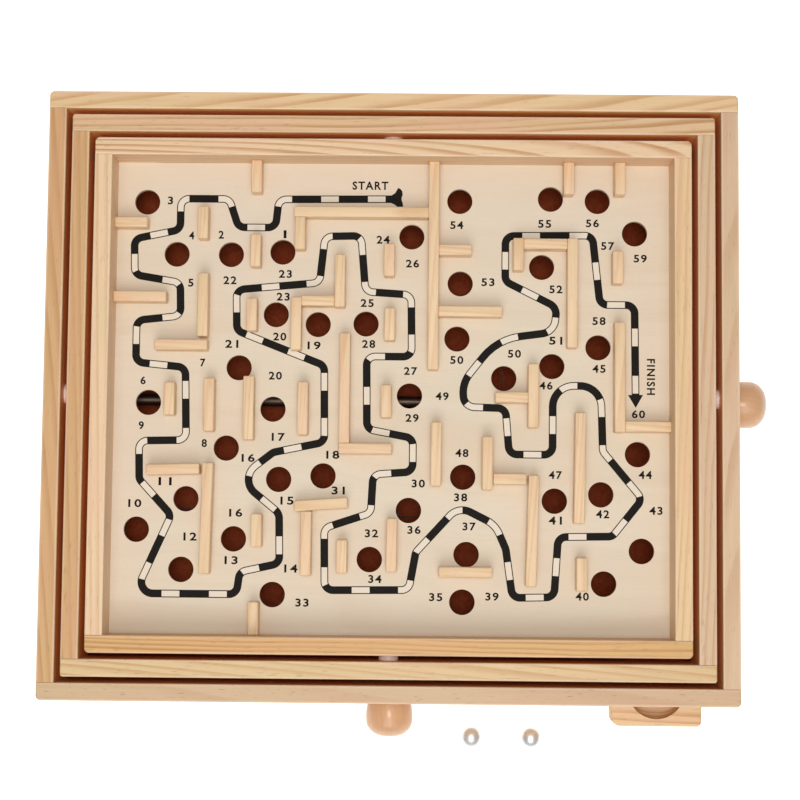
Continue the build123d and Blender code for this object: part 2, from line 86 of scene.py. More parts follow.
# ------------------------------------------------------------------------------------ shader writing
class Sock:
    """One output of a shader graph. Arithmetic on it adds Math nodes."""

    def __init__(self, graph: "Graph", socket: bpy.types.NodeSocket) -> None:
        """Wrap a node's output.

        Args:
            graph: The graph that the node is in.
            socket: The output.
        """
        self.graph = graph
        self.socket = socket

    def other(self, output: int) -> "Sock":
        """Return another output of the same node."""
        return Sock(self.graph, self.socket.node.outputs[output])

    def _math(self, operation: str, first: "Value", second: "Value" = 0.0) -> "Sock":
        """Add a Math node on two values."""
        return self.graph.node("ShaderNodeMath", {"operation": operation}, {0: first, 1: second})

    def __add__(self, other: "Value") -> "Sock":
        """Return the sum."""
        return self._math("ADD", self, other)

    def __radd__(self, other: "Value") -> "Sock":
        """Return the sum with a number on the left."""
        return self._math("ADD", other, self)

    def __sub__(self, other: "Value") -> "Sock":
        """Return the difference."""
        return self._math("SUBTRACT", self, other)

    def __rsub__(self, other: "Value") -> "Sock":
        """Return the difference from a number on the left."""
        return self._math("SUBTRACT", other, self)

    def __mul__(self, other: "Value") -> "Sock":
        """Return the product."""
        return self._math("MULTIPLY", self, other)

    def __rmul__(self, other: "Value") -> "Sock":
        """Return the product with a number on the left."""
        return self._math("MULTIPLY", other, self)

    def __truediv__(self, other: "Value") -> "Sock":
        """Return the quotient."""
        return self._math("DIVIDE", self, other)

    def __abs__(self) -> "Sock":
        """Return the distance from zero."""
        return self._math("ABSOLUTE", self)

    def root(self) -> "Sock":
        """Return the square root."""
        return self._math("SQRT", self)

    def fraction(self) -> "Sock":
        """Return what is left after the whole number."""
        return self._math("FRACT", self)

    def rise(self, low: float, high: float) -> "Sock":
        """Return 0 below low and 1 above high, with a smooth rise between."""
        return self.graph.node(
            "ShaderNodeMapRange",
            {"interpolation_type": "SMOOTHSTEP"},
            {0: self, 1: low, 2: high, 3: 0.0, 4: 1.0},
        )


Value = Union[Sock, float]
Paint = Union[Sock, Colour]


class Graph:
    """A material's node tree, written from Python expressions."""

    def __init__(self, name: str) -> None:
        """Start an empty material.

        Args:
            name: The material's name.
        """
        self.material = bpy.data.materials.new(name)
        self.material.use_nodes = True
        self.tree = self.material.node_tree
        self.tree.nodes.clear()

    def node(self, kind: str, settings: dict, inputs: dict, output: Optional[int] = 0) -> Optional[Sock]:
        """Add one node.

        Args:
            kind: The node's type.
            settings: Its own settings, set first. A ramp's are given as stops, (place, colour) pairs.
            inputs: Values or links of its sockets, by name or number.
            output: The output to return, or None where it has none.

        Returns:
            The chosen output.
        """
        made = self.tree.nodes.new(kind)
        for key, value in settings.items():
            if key == "stops":
                self._set_stops(made.color_ramp, value)
            else:
                setattr(made, key, value)
        for key, value in inputs.items():
            if isinstance(value, Sock):
                self.tree.links.new(value.socket, made.inputs[key])
            else:
                made.inputs[key].default_value = value
        return None if output is None else Sock(self, made.outputs[output])

    @staticmethod
    def _set_stops(ramp: bpy.types.ColorRamp, stops: Iterable[tuple[float, Colour]]) -> None:
        """Give a ramp its stops."""
        stops = list(stops)
        while len(ramp.elements) < len(stops):
            ramp.elements.new(1.0)
        for element, (place, colour) in zip(ramp.elements, stops):
            element.position = place
            element.color = colour

    def object_place(self) -> Sock:
        """Return the point in the object's own frame, in metres."""
        return self.node("ShaderNodeTexCoord", {}, {}, 3)

    def split(self, vector: Sock) -> tuple[Sock, Sock, Sock]:
        """Return a vector's three numbers."""
        first = self.node("ShaderNodeSeparateXYZ", {}, {0: vector})
        return first, first.other(1), first.other(2)

    def vector(self, x: Value, y: Value, z: Value) -> Sock:
        """Return a vector of three numbers."""
        return self.node("ShaderNodeCombineXYZ", {}, {0: x, 1: y, 2: z})

    def noise(self, place: Sock, detail: float = 2.0, roughness: float = 0.5) -> Sock:
        """Return smooth noise from 0 to 1 that changes once per unit of place."""
        inputs = {"Vector": place, "Scale": 1.0, "Detail": detail, "Roughness": roughness}
        return self.node("ShaderNodeTexNoise", {"noise_dimensions": "3D"}, inputs)

    def speckle(self, x: Value, y: Value, z: Value, detail: float = 2.0, roughness: float = 0.5) -> Sock:
        """Return noise at a place given as three numbers."""
        return self.noise(self.vector(x, y, z), detail, roughness)

    def mix(self, factor: Value, first: Paint, second: Paint, way: str = "MIX") -> Sock:
        """Mix two colours.

        Args:
            factor: How much of the second.
            first: The first colour.
            second: The second colour.
            way: The blend mode.

        Returns:
            The mixed colour.
        """
        settings = {"data_type": "RGBA", "blend_type": way}
        return self.node("ShaderNodeMix", settings, {0: factor, 6: first, 7: second}, 2)

    def shade(self, colour: Paint, amount: Sock) -> Sock:
        """Multiply a colour by a number that varies about 1."""
        return self.mix(1.0, colour, self.vector(amount, amount, amount), "MULTIPLY")

    def bump(self, height: Sock, distance: float, strength: float = 1.0) -> Sock:
        """Return the normal of a surface that rises by distance where height is 1."""
        inputs = {"Height": height, "Distance": distance, "Strength": strength}
        return self.node("ShaderNodeBump", {}, inputs)

    def surface(self, **inputs: Union[Sock, float, Colour]) -> bpy.types.Material:
        """Close the graph with a Principled surface.

        Args:
            inputs: Its sockets, written with underscores for spaces.

        Returns:
            The finished material.
        """
        named = {key.replace("_", " "): value for key, value in inputs.items()}
        shader = self.node("ShaderNodeBsdfPrincipled", {}, named)
        self.node("ShaderNodeOutputMaterial", {}, {"Surface": shader}, None)
        return self.material


# ------------------------------------------------------------------------------------------ finishes
class Finish:
    """A finish that can write its own shader. Each kind says what its surface's sockets hold."""

    name: str

    def material(self) -> bpy.types.Material:
        """Write the shader.

        Returns:
            The material.
        """
        graph = Graph(self.name)
        return graph.surface(**self.sockets(graph, *graph.split(graph.object_place())))

    def sockets(self, graph: Graph, x: Sock, y: Sock, z: Sock) -> dict:
        """Return the surface's sockets, from a place in the object's own frame."""
        raise NotImplementedError


class GrainWay(Enum):
    """Which way a board's grain runs, or that the piece carries its own grain directions."""

    ALONG_X = "x"
    ALONG_Y = "y"
    OWN = "own"


@dataclass(frozen=True)
class Timber(Finish):
    """Planed and sealed softwood, as it comes from a log with growth rings about its pith."""

    name: str
    way: GrainWay
    early: Colour
    late: Colour
    ring: float = 3.2 * MM  # width of one year's growth
    pith: tuple[float, float] = (18 * MM, -40 * MM)  # across and up, from the piece's middle
    lean: tuple[float, float] = (0.02, 0.01)  # how far the pith shifts for each metre along
    contrast: float = 0.75
    streaks: float = 0.25  # how dark the resin streaks are
    middle: tuple[float, float, float] = (0.0, 0.0, 0.0)
    half: tuple[float, float] = (1.0, 1.0)  # half the piece's length along its grain, and its width
    top: float = 1.0  # height of its top face above its middle
    gloss: float = 0.12
    gap_side: float = 0.0  # which side, across, is in a gap and gets the painted gap shade: 1, -1, or 0 for both
    shade_tint: Colour = (1.05, 1.0, 0.62, 1.0)  # painted warm shade near the top of the faces in the gaps
    gap_tint: Colour = (1.35, 0.9, 0.55, 1.0)  # painted deeper, warmer shade further down in the gaps
    seed: float = 0.0

    def _place(self, graph: Graph, x: Sock, y: Sock, z: Sock) -> tuple[Sock, Sock, Sock]:
        """Return distances along the grain, across it and up, from the piece's middle."""
        if self.way is GrainWay.OWN:
            own = graph.node("ShaderNodeAttribute", {"attribute_name": "grain"}, {}, 1)
            return graph.split(own)
        x, y, z = x - self.middle[0], y - self.middle[1], z - self.middle[2]
        return (x, y, z) if self.way is GrainWay.ALONG_X else (y, x, z)

    def _rings(self, graph: Graph, along: Sock, across: Sock, up: Sock) -> Sock:
        """Return 0 in pale early wood, rising to 1 in the late wood that ends each year."""
        slow = graph.vector(along * 7.0 + self.seed, across * 30.0, up * 30.0)
        wander = (graph.noise(slow, 1.5) - 0.5) * (5.0 * MM)
        side = across - self.pith[0] + along * self.lean[0] + wander
        rise = up - self.pith[1] + along * self.lean[1] - wander * 0.6
        years = (side * side + rise * rise).root() / self.ring
        pace = graph.speckle(years * 0.45, along * 2.0 + self.seed, 0.0, 1.0)
        year = (years + pace * 1.6).fraction()
        return year.rise(0.35, 0.88) * (1.0 - year.rise(0.9, 1.0))

    def sockets(self, graph: Graph, x: Sock, y: Sock, z: Sock) -> dict:
        """Return the surface's sockets."""
        along, across, up = self._place(graph, x, y, z)
        dark = self._rings(graph, along, across, up)

        broad = graph.speckle(along * 9.0, across * 60.0 + self.seed, up * 60.0, 2.0)
        strength = dark * (broad * 1.0 + 0.4) * self.contrast
        colour = graph.mix(strength, self.early, self.late)

        blush = graph.speckle(along * 14.0, across * 120.0, up * 120.0 + self.seed, 2.0)
        rosy = (self.early[0] * 0.99, self.early[1] * 0.87, self.early[2] * 0.92, 1.0)
        colour = graph.mix(blush.rise(0.42, 0.72) * 0.6, colour, rosy)
        sallow = graph.speckle(along * 11.0 + self.seed, across * 150.0, up * 150.0, 1.0)
        olive = (self.early[0] * 0.86, self.early[1] * 0.88, self.early[2] * 0.74, 1.0)
        colour = graph.mix(sallow.rise(0.5, 0.8) * 0.5, colour, olive)

        fibre = graph.speckle(along * 45.0, across * 1500.0 + self.seed, up * 1500.0, 3.0, 0.6)
        colour = graph.shade(colour, fibre * 0.2 + 0.9)

        canal = graph.speckle(along * 160.0 + self.seed, across * 2400.0, up * 2400.0, 1.0)
        streak = canal.rise(0.66, 0.76)
        colour = graph.shade(colour, 1.0 - streak * self.streaks)

        normal_out = graph.node("ShaderNodeNewGeometry", {}, {}, 1)
        facing = graph.split(normal_out)
        end_face = abs(facing[0] if self.way is GrainWay.ALONG_X else facing[1])
        if self.way is not GrainWay.OWN:
            colour = graph.shade(colour, 1.0 - end_face.rise(0.6, 0.95) * 0.22)
            from_end = self.half[0] - abs(along)
            butt = 1.0 - from_end.rise(0.03 * MM, 0.25 * MM)
            colour = graph.shade(colour, 1.0 - butt * (1.0 - end_face) * broad * 0.3)
            # Painted highlight, partly wear: the eased top edges along the sides are lightened towards pale
            # pink, as where light catches the rounding.
            near_side = 1.0 - (self.half[1] - abs(across)).rise(0.3 * MM, 1.3 * MM)
            near_top = (up - self.top).rise(-1.2 * MM, 0.0)
            edge_wear_and_highlight = near_side * near_top * (fibre * 0.6 + 0.6)
            colour = graph.mix(edge_wear_and_highlight * 0.6, colour, srgb(246, 218, 194))
            # Painted shade: faces below the top, down in the gaps between parts, are multiplied by a warm
            # tint that stands for the shade and warm bounce light there.
            gap_shade_mask = (self.top - up).rise(0.5 * MM, 2.5 * MM)
            if self.gap_side:
                gap_shade_mask = gap_shade_mask * (across * self.gap_side).rise(0.0, 1.0 * MM)
            painted_gap_shade = graph.mix((self.top - up).rise(1.0 * MM, 8.0 * MM), self.shade_tint, self.gap_tint)
            colour = graph.mix(gap_shade_mask, colour, graph.mix(1.0, colour, painted_gap_shade, "MULTIPLY"))

        relief = dark * 0.5 + fibre * 0.6 - streak * 0.7
        return dict(
            Base_Color=colour,
            Roughness=0.46 + fibre * 0.16 - dark * 0.06,
            Specular_IOR_Level=0.42,
            Coat_Weight=self.gloss,
            Coat_Roughness=0.3,
            Normal=graph.bump(relief, 0.06 * MM),
        )


@dataclass(frozen=True)
class Plywood(Finish):
    """A sanded pale plywood sheet, whose plies show where it is cut through."""

    name: str
    face: Colour
    shadow: Colour
    core: Colour
    top: float
    thickness: float

    def sockets(self, graph: Graph, x: Sock, y: Sock, z: Sock) -> dict:
        """Return the surface's sockets."""
        wander = graph.speckle(x * 3.0, y * 14.0, 0.3, 2.0)
        leaf = graph.speckle(x * 2.2, y * 85.0 + wander * 9.0, 1.7, 3.0, 0.6)
        colour = graph.mix(leaf.rise(0.35, 0.75) * 0.45, self.face, self.shadow)

        cloud = graph.speckle(x * 9.0, y * 16.0, 4.1, 2.0)
        colour = graph.mix(cloud.rise(0.4, 0.8) * 0.4, colour, srgb(231, 214, 200))

        fibre = graph.speckle(x * 70.0, y * 2100.0, z * 900.0, 3.0, 0.6)
        colour = graph.shade(colour, fibre * 0.1 + 0.95)
        fleck = graph.speckle(x * 260.0, y * 2600.0, 2.9, 1.0).rise(0.69, 0.78)
        colour = graph.shade(colour, 1.0 - fleck * 0.14)

        depth = (self.top - z) / self.thickness
        inner_ply = depth.rise(0.3, 0.36) * (1.0 - depth.rise(0.64, 0.7))
        colour = graph.mix(inner_ply * 0.8, colour, self.core)
        cut_edge = depth.rise(0.01, 0.04) * (1.0 - inner_ply)
        colour = graph.shade(colour, 1.0 - cut_edge * 0.12)
        return dict(
            Base_Color=colour,
            Roughness=0.52 + fibre * 0.16,
            Specular_IOR_Level=0.35,
            Normal=graph.bump(fibre * 0.6 + leaf * 0.4, 0.035 * MM),
        )


@dataclass(frozen=True)
class Hardboard(Finish):
    """Pressed brown fibreboard with a smooth, faintly speckled face."""

    name: str
    light: Colour
    dark: Colour

    def sockets(self, graph: Graph, x: Sock, y: Sock, z: Sock) -> dict:
        """Return the surface's sockets."""
        felt = graph.speckle(x * 420.0, y * 420.0, z * 420.0, 4.0, 0.7)
        patch = graph.speckle(x * 35.0, y * 35.0, z * 35.0, 2.0)
        hair = graph.speckle(x * 1400.0, y * 260.0, z * 900.0, 2.0, 0.6)
        amount = felt * 0.6 + patch * 0.25 + hair * 0.15
        colour = graph.mix(amount.rise(0.35, 0.68), self.light, self.dark)
        scuff = graph.speckle(x * 60.0, y * 500.0, z * 60.0, 2.0).rise(0.66, 0.8)
        colour = graph.mix(scuff * 0.1, colour, srgb(186, 100, 60))
        return dict(
            Base_Color=colour,
            Roughness=0.55 + felt * 0.2,
            Specular_IOR_Level=0.15,
            Normal=graph.bump(felt + hair * 0.5, 0.04 * MM),
        )


class Turning(Enum):
    """The axis that a turned piece was spun about."""

    ABOUT_X = "x"
    ABOUT_Y = "y"


@dataclass(frozen=True)
class LacqueredWood(Finish):
    """A turned hardwood knob under clear gloss lacquer."""

    name: str
    turning: Turning
    body: Colour
    vein: Colour
    axis_height: float

    def sockets(self, graph: Graph, x: Sock, y: Sock, z: Sock) -> dict:
        """Return the surface's sockets."""
        along, across = (x, y) if self.turning is Turning.ABOUT_X else (y, x)
        up = z - self.axis_height
        flow = graph.speckle(along * 40.0, across * 190.0, up * 190.0, 2.0)
        side = across - 30 * MM + along * 0.08
        years = (side * side + up * up).root() / (2.3 * MM) + flow * 1.4
        band = years.fraction()
        dark = band.rise(0.2, 0.8) * (1.0 - band.rise(0.86, 1.0))
        colour = graph.mix(dark * 0.14, self.body, self.vein)
        fibre = graph.speckle(along * 160.0, across * 2600.0, up * 2600.0, 3.0, 0.6)
        colour = graph.shade(colour, fibre * 0.12 + 0.94)
        tool = graph.speckle(along * 2200.0, 0.4, 0.7, 2.0)
        handled = graph.speckle(along * 90.0, across * 90.0, up * 90.0, 2.0)
        colour = graph.shade(colour, handled * 0.1 + 0.95)
        return dict(
            Base_Color=colour,
            Roughness=0.4 + handled * 0.12,
            Coat_Weight=0.5,
            Coat_Roughness=0.2,
            Normal=graph.bump(tool * 0.5 + fibre * 0.5, 0.025 * MM),
        )


@dataclass(frozen=True)
class Steel(Finish):
    """Bright steel, either drawn and brushed along its length or ground to a mirror."""

    name: str
    tone: Colour
    roughness: float
    scratches: tuple[float, float, float]  # how often they change along X, Y and Z, per metre

    def sockets(self, graph: Graph, x: Sock, y: Sock, z: Sock) -> dict:
        """Return the surface's sockets."""
        sx, sy, sz = self.scratches
        scratch = graph.speckle(x * sx, y * sy, z * sz, 3.0, 0.6)
        smear = graph.speckle(x * 120.0, y * 120.0, z * 120.0, 2.0)
        stain = tuple(c * 0.82 for c in self.tone[:3]) + (1.0,)
        colour = graph.mix(smear.rise(0.45, 0.8) * 0.4, self.tone, stain)
        return dict(
            Base_Color=colour,
            Metallic=1.0,
            Roughness=self.roughness * (scratch * 0.7 + smear * 0.5 + 0.4),
            Normal=graph.bump(scratch, self.roughness * 0.02 * MM),
        )


@dataclass(frozen=True)
class Nylon(Finish):
    """Natural moulded nylon, milky and slightly translucent."""

    name: str
    tone: Colour

    def sockets(self, graph: Graph, x: Sock, y: Sock, z: Sock) -> dict:
        """Return the surface's sockets."""
        cloud = graph.speckle(x * 260.0, y * 260.0, z * 260.0, 2.0)
        grain = graph.speckle(x * 3200.0, y * 3200.0, z * 3200.0, 2.0)
        colour = graph.shade(self.tone, cloud * 0.12 + 0.94)
        return dict(
            Base_Color=colour,
            Roughness=0.36 + grain * 0.14,
            Subsurface_Weight=0.25,
            Subsurface_Radius=(1.6 * MM, 1.2 * MM, 1.0 * MM),
            Normal=graph.bump(grain, 0.012 * MM),
        )


@dataclass(frozen=True)
class Thread(Finish):
    """Waxed brown twine, with painted shade in the gaps between its fibres."""

    name: str
    tone: Colour
    # gap is the colour of the painted shade between the fibres
    gap: Colour

    def sockets(self, graph: Graph, x: Sock, y: Sock, z: Sock) -> dict:
        """Return the surface's sockets."""
        fluff = graph.speckle(x * 3800.0, y * 3800.0, z * 3800.0, 3.0, 0.7)
        wax = graph.speckle(x * 240.0, y * 240.0, z * 240.0, 2.0)
        # Painted shade: noise mixes in the darker gap colour as shade between the fibres.
        colour = graph.mix(fluff.rise(0.3, 0.7) * 0.6, self.tone, self.gap)
        colour = graph.shade(colour, wax * 0.16 + 0.92)
        return dict(
            Base_Color=colour,
            Roughness=0.72 + fluff * 0.15,
            Sheen_Weight=0.3,
            Normal=graph.bump(fluff, 0.05 * MM),
        )


@dataclass(frozen=True)
class Ink(Finish):
    """Screen-printed ink, which lets a little of the wood's grain through."""

    name: str
    tone: Colour
    worn: Colour

    def sockets(self, graph: Graph, x: Sock, y: Sock, z: Sock) -> dict:
        """Return the surface's sockets."""
        grain = graph.speckle(x * 120.0, y * 2200.0, 0.5, 3.0, 0.6)
        mesh = graph.speckle(x * 2600.0, y * 2600.0, z, 1.0)
        thin = grain.rise(0.5, 0.8) * 0.35 + mesh.rise(0.6, 0.8) * 0.2
        colour = graph.mix(thin, self.tone, self.worn)
        return dict(
            Base_Color=colour,
            Roughness=0.55 + grain * 0.2,
            Specular_IOR_Level=0.1,
            Normal=graph.bump(grain, 0.01 * MM),
        )


# ------------------------------------------------------------------------------------ mesh workshop
def shown(name: str, data: bpy.types.ID) -> bpy.types.Object:
    """Return a new object in the scene that shows some data."""
    obj = bpy.data.objects.new(name, data)
    bpy.context.scene.collection.objects.link(obj)
    return obj


def meshed(name: str, bm: bmesh.types.BMesh) -> bpy.types.Mesh:
    """Turn a bmesh into a mesh, and free it."""
    mesh = bpy.data.meshes.new(name)
    bm.to_mesh(mesh)
    bm.free()
    return mesh


def coloured(node_name: str, material: bpy.types.Material) -> None:
    """Give a CAD node its material.

    Args:
        node_name: The CAD node.
        material: What it is made of.
    """
    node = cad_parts[node_name]
    if not node.material_slots:
        node.data.materials.append(material)
    for material_slot in node.material_slots:
        material_slot.material = material
    log.info("%s: %s", node_name, material.name)


def crease(bm: bmesh.types.BMesh, angle: float = 35.0) -> None:
    """Shade a mesh smooth except over edges that turn by more than an angle, in degrees."""
    limit = math.radians(angle)
    for face in bm.faces:
        face.smooth = True
    for edge in bm.edges:
        edge.smooth = len(edge.link_faces) == 2 and edge.calc_face_angle(0.0) < limit


@dataclass
class Piece:
    """A finished new piece: where it belongs and what it stands for."""

    name: str
    slot: str
    material: bpy.types.Material
    body: Optional[str] = None
    replaces: tuple[str, ...] = ()

    def build(self, bm: bmesh.types.BMesh) -> bpy.types.Object:
        """Turn a bmesh into the piece's object, hang it on its body if it has one, and hide the CAD nodes
        that it replaces.

        Args:
            bm: The finished shape, in the row's frame. It is freed.

        Returns:
            The object.
        """
        mesh = meshed(self.name, bm)
        mesh.materials.append(self.material)
        obj = shown(self.name, mesh)
        if self.body is not None:
            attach(obj, self.body)
        if self.replaces:
            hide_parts(*self.replaces)
        log.info("%s: %d faces, %s", self.name, len(mesh.polygons), self.material.name)
        return obj


def lathe(stations: list[Station], origin: Vector, axis: Vector, steps: int = 96) -> bmesh.types.BMesh:
    """Spin a profile into a closed turned shape.

    Args:
        stations: (radius, distance along the axis) from one end's middle to the other's.
        origin: Where the axis starts.
        axis: Its direction, of length 1.
        steps: Facets round the axis.

    Returns:
        The shape, with its poles merged and its faces outward.
    """
    bm = bmesh.new()
    side = axis.orthogonal().normalized()
    points = [bm.verts.new(origin + axis * along + side * radius) for radius, along in stations]
    edges = [bm.edges.new(pair) for pair in zip(points, points[1:])]
    bmesh.ops.spin(
        bm, geom=points + edges, cent=origin, axis=axis, angle=math.tau, steps=steps, use_merge=True
    )
    bmesh.ops.remove_doubles(bm, verts=bm.verts, dist=0.001 * MM)
    bmesh.ops.recalc_face_normals(bm, faces=bm.faces)
    return bm


@dataclass
class Helix:
    """A round strand that winds about an axis, such as a spring's wire or one ply of a twine."""

    origin: Vector
    axis: Vector
    coil_radius: float
    strand_radius: float
    pitch: float
    turns: float
    phase: float = 0.0
    steps_per_turn: int = 16
    sides: int = 6
    towards: Optional[Vector] = None

    def add_to(self, bm: bmesh.types.BMesh) -> None:
        """Wind the strand into a mesh.

        Args:
            bm: The mesh to add to.
        """
        out = self.towards or self.axis.orthogonal().normalized()
        out = Matrix.Rotation(self.phase, 3, self.axis) @ out
        way = (self.axis.cross(out) * math.tau * self.coil_radius + self.axis * self.pitch).normalized()
        place = Matrix((out, way.cross(out), way)).transposed().to_4x4()
        place.translation = self.origin + out * self.coil_radius
        ring = bmesh.ops.create_circle(bm, segments=self.sides, radius=self.strand_radius, matrix=place)
        verts = ring["verts"]
        edges = list({edge for vert in verts for edge in vert.link_edges})
        steps = max(2, round(self.turns * self.steps_per_turn))
        spun = bmesh.ops.spin(
            bm,
            geom=verts + edges,
            cent=self.origin,
            axis=self.axis,
            dvec=self.axis * (self.pitch * self.turns / steps),
            angle=math.tau * self.turns,
            steps=steps,
        )
        last = [item for item in spun["geom_last"] if isinstance(item, bmesh.types.BMEdge)]
        bmesh.ops.holes_fill(bm, edges=edges + last, sides=0)
        bmesh.ops.recalc_face_normals(bm, faces=bm.faces)


# ------------------------------------------------------------------------------------------- studio
@dataclass
class Studio:
    """The pale floor, the soft lights and the camera that looks down on the game."""

    floor_half: float = 3.0
    camera_at: tuple[float, float, float] = (15.6 * MM, -72.6 * MM, 1002.9 * MM)
    camera_aim: tuple[float, float, float] = (4.6 * MM, -1.15 * MM, 69.0 * MM)
    camera_roll: float = 0.543
    lens: float = 81.0
    floor_tone: Colour = field(default_factory=lambda: srgb(250, 250, 249))

    def build(self) -> None:
        """Set the whole studio up."""
        self._floor()
        self._world()
        self._light("key_light", (0.0, -1.15, 1.9), 1.3, 17.0)
        self._light("camera_light", (0.016, -0.073, 1.5), 0.4, 7.0)
        self._camera()
        bpy.context.scene.view_settings.view_transform = "Standard"

    def _floor(self) -> None:
        """Lay the floor."""
        graph = Graph("pale_floor")
        x, y, _ = graph.split(graph.object_place())
        mottle = graph.speckle(x * 4.0, y * 4.0, 0.0, 2.0)
        colour = graph.shade(self.floor_tone, mottle * 0.01 + 0.995)
        material = graph.surface(Base_Color=colour, Roughness=0.9, Specular_IOR_Level=0.1,
                                 Emission_Color=(1.0, 1.0, 1.0, 1.0), Emission_Strength=0.7)
        bm = bmesh.new()
        bmesh.ops.create_grid(bm, x_segments=1, y_segments=1, size=self.floor_half)
        mesh = meshed("studio_floor", bm)
        mesh.materials.append(material)
        shown("studio_floor", mesh)

    def _world(self) -> None:
        """Light everything evenly from all round."""
        world = bpy.data.worlds.new("studio_world")
        world.use_nodes = True
        background = world.node_tree.nodes["Background"]
        background.inputs["Color"].default_value = srgb(255, 253, 250)
        background.inputs["Strength"].default_value = 0.36
        bpy.context.scene.world = world

    def _light(self, name: str, place: tuple[float, float, float], size: float, power: float) -> None:
        """Hang a square soft light that points at the game."""
        light = bpy.data.lights.new(name, "AREA")
        light.size = size
        light.energy = power
        light.color = srgb(255, 251, 244)[:3]
        obj = shown(name, light)
        obj.location = place
        obj.rotation_euler = (-Vector(place)).to_track_quat("-Z", "Y").to_euler()

    def _camera(self) -> None:
        """Hang the camera over the game, level with its back edge but for a slight roll."""
        data = bpy.data.cameras.new("camera")
        data.lens = self.lens
        data.clip_start, data.clip_end = 0.05, 20.0
        camera = shown("camera", data)
        ahead = (Vector(self.camera_aim) - Vector(self.camera_at)).normalized()
        right = ahead.cross(Vector((0, 1, 0))).normalized()
        right = Matrix.Rotation(-math.radians(self.camera_roll), 3, ahead) @ right
        up = right.cross(ahead)
        turn = Matrix((right, up, -ahead)).transposed()
        camera.matrix_world = Matrix.Translation(self.camera_at) @ turn.to_4x4()
        bpy.context.scene.camera = camera


# ---------------------------------------------------------------------------------------- woodwork
@dataclass(frozen=True)
class Plank:
    """How one board was cut: its colour and where the log's pith lies from its middle."""

    way: GrainWay
    early: Colour
    late: Colour
    pith: tuple[float, float]  # across and up, in millimetres
    lean: tuple[float, float]
    ring: float = 3.2  # millimetres
    contrast: float = 0.75
    streaks: float = 0.25
    gloss: float = 0.12
    gap_side: float = 0.0


@dataclass
class Woodwork:
    """The box's walls, the rails of the two tilting frames, and the small blocks, each its own plank."""

    planks: dict[str, Plank] = field(default_factory=lambda: PLANKS)

    def dress(self) -> None:
        """Give every plank its wood."""
        for number, (name, plank) in enumerate(self.planks.items()):
            low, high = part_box(name)
            middle = (low + high) / 2
            size = high - low
            along_x = plank.way is GrainWay.ALONG_X
            timber = Timber(
                name=f"{name}_wood",
                way=plank.way,
                early=plank.early,
                late=plank.late,
                ring=plank.ring * MM,
                pith=(plank.pith[0] * MM, plank.pith[1] * MM),
                lean=plank.lean,
                contrast=plank.contrast,
                streaks=plank.streaks,
                middle=tuple(middle),
                half=(size.x / 2, size.y / 2) if along_x else (size.y / 2, size.x / 2),
                top=size.z / 2,
                gloss=plank.gloss,
                gap_side=plank.gap_side,
                seed=number * 3.7,
            )
            coloured(name, timber.material())


HONEY, HONEY_DARK = srgb(215, 173, 124), srgb(184, 130, 76)
STRAW, STRAW_DARK = srgb(223, 194, 148), srgb(194, 146, 92)
BLOND, BLOND_DARK = srgb(232, 200, 156), srgb(200, 148, 94)
CREAM, CREAM_DARK = srgb(237, 207, 170), srgb(200, 148, 98)
BUFF, BUFF_DARK = srgb(218, 188, 156), srgb(190, 142, 102)
AMBER, AMBER_DARK = srgb(219, 176, 116), srgb(184, 122, 62)
FAWN = srgb(211, 181, 146)
APRICOT = srgb(226, 190, 150)

PLANKS = {
    "front_wall": Plank(
        GrainWay.ALONG_X, FAWN, BUFF_DARK, (-14, -60), (0.010, 0.02), 2.4, 0.4, 0.5, gap_side=1,
    ),
    "back_wall": Plank(
        GrainWay.ALONG_X, BLOND, BLOND_DARK, (24, -30), (-0.012, 0.05), 2.2, 0.8, gap_side=-1,
    ),
    "left_wall": Plank(GrainWay.ALONG_Y, HONEY, HONEY_DARK, (-16, 20), (0.02, 0.05), 3.0, 0.6, gap_side=1),
    "right_wall": Plank(
        GrainWay.ALONG_Y, BUFF, BUFF_DARK, (12, -35), (0.015, 0.04), 2.4, 0.45, gap_side=-1,
    ),
    "middle_front_rail": Plank(GrainWay.ALONG_X, STRAW, STRAW_DARK, (-28, -24), (0.02, 0.05), 2.3, 0.75),
    "middle_back_rail": Plank(GrainWay.ALONG_X, APRICOT, HONEY_DARK, (24, -22), (0.03, 0.04), 2.0, 0.8),
    "middle_left_rail": Plank(GrainWay.ALONG_Y, HONEY, HONEY_DARK, (-26, -22), (0.01, 0.02), 2.1, 0.6),
    "middle_right_rail": Plank(GrainWay.ALONG_Y, BUFF, AMBER_DARK, (24, -26), (-0.02, 0.02), 2.1, 0.5),
    "maze_front_rail": Plank(
        GrainWay.ALONG_X, AMBER, AMBER_DARK, (22, -14), (0.05, 0.03), 1.7, 0.95, gap_side=-1,
    ),
    "maze_back_rail": Plank(
        GrainWay.ALONG_X, CREAM, CREAM_DARK, (-13, -15), (-0.05, 0.06), 1.8, 1.05, gap_side=1,
    ),
    "maze_left_rail": Plank(
        GrainWay.ALONG_Y, CREAM, BLOND_DARK, (-26, -24), (0.01, 0.01), 2.2, 0.5, gap_side=-1,
    ),
    "maze_right_rail": Plank(
        GrainWay.ALONG_Y, BLOND, BLOND_DARK, (27, -24), (-0.01, 0.02), 2.2, 0.5, gap_side=1,
    ),
    "ball_tray": Plank(GrainWay.ALONG_X, BLOND, AMBER_DARK, (11, -22), (0.06, 0.02), 2.0, 0.8, gap_side=1),
    "back_batten": Plank(GrainWay.ALONG_X, BLOND, BLOND_DARK, (7, -30), (0.01, 0.02)),
    "left_batten": Plank(GrainWay.ALONG_Y, BLOND, BLOND_DARK, (-7, -30), (0.01, 0.02)),
    "corner_guide": Plank(GrainWay.ALONG_X, BLOND, BLOND_DARK, (7, -20), (0.01, 0.02)),
}


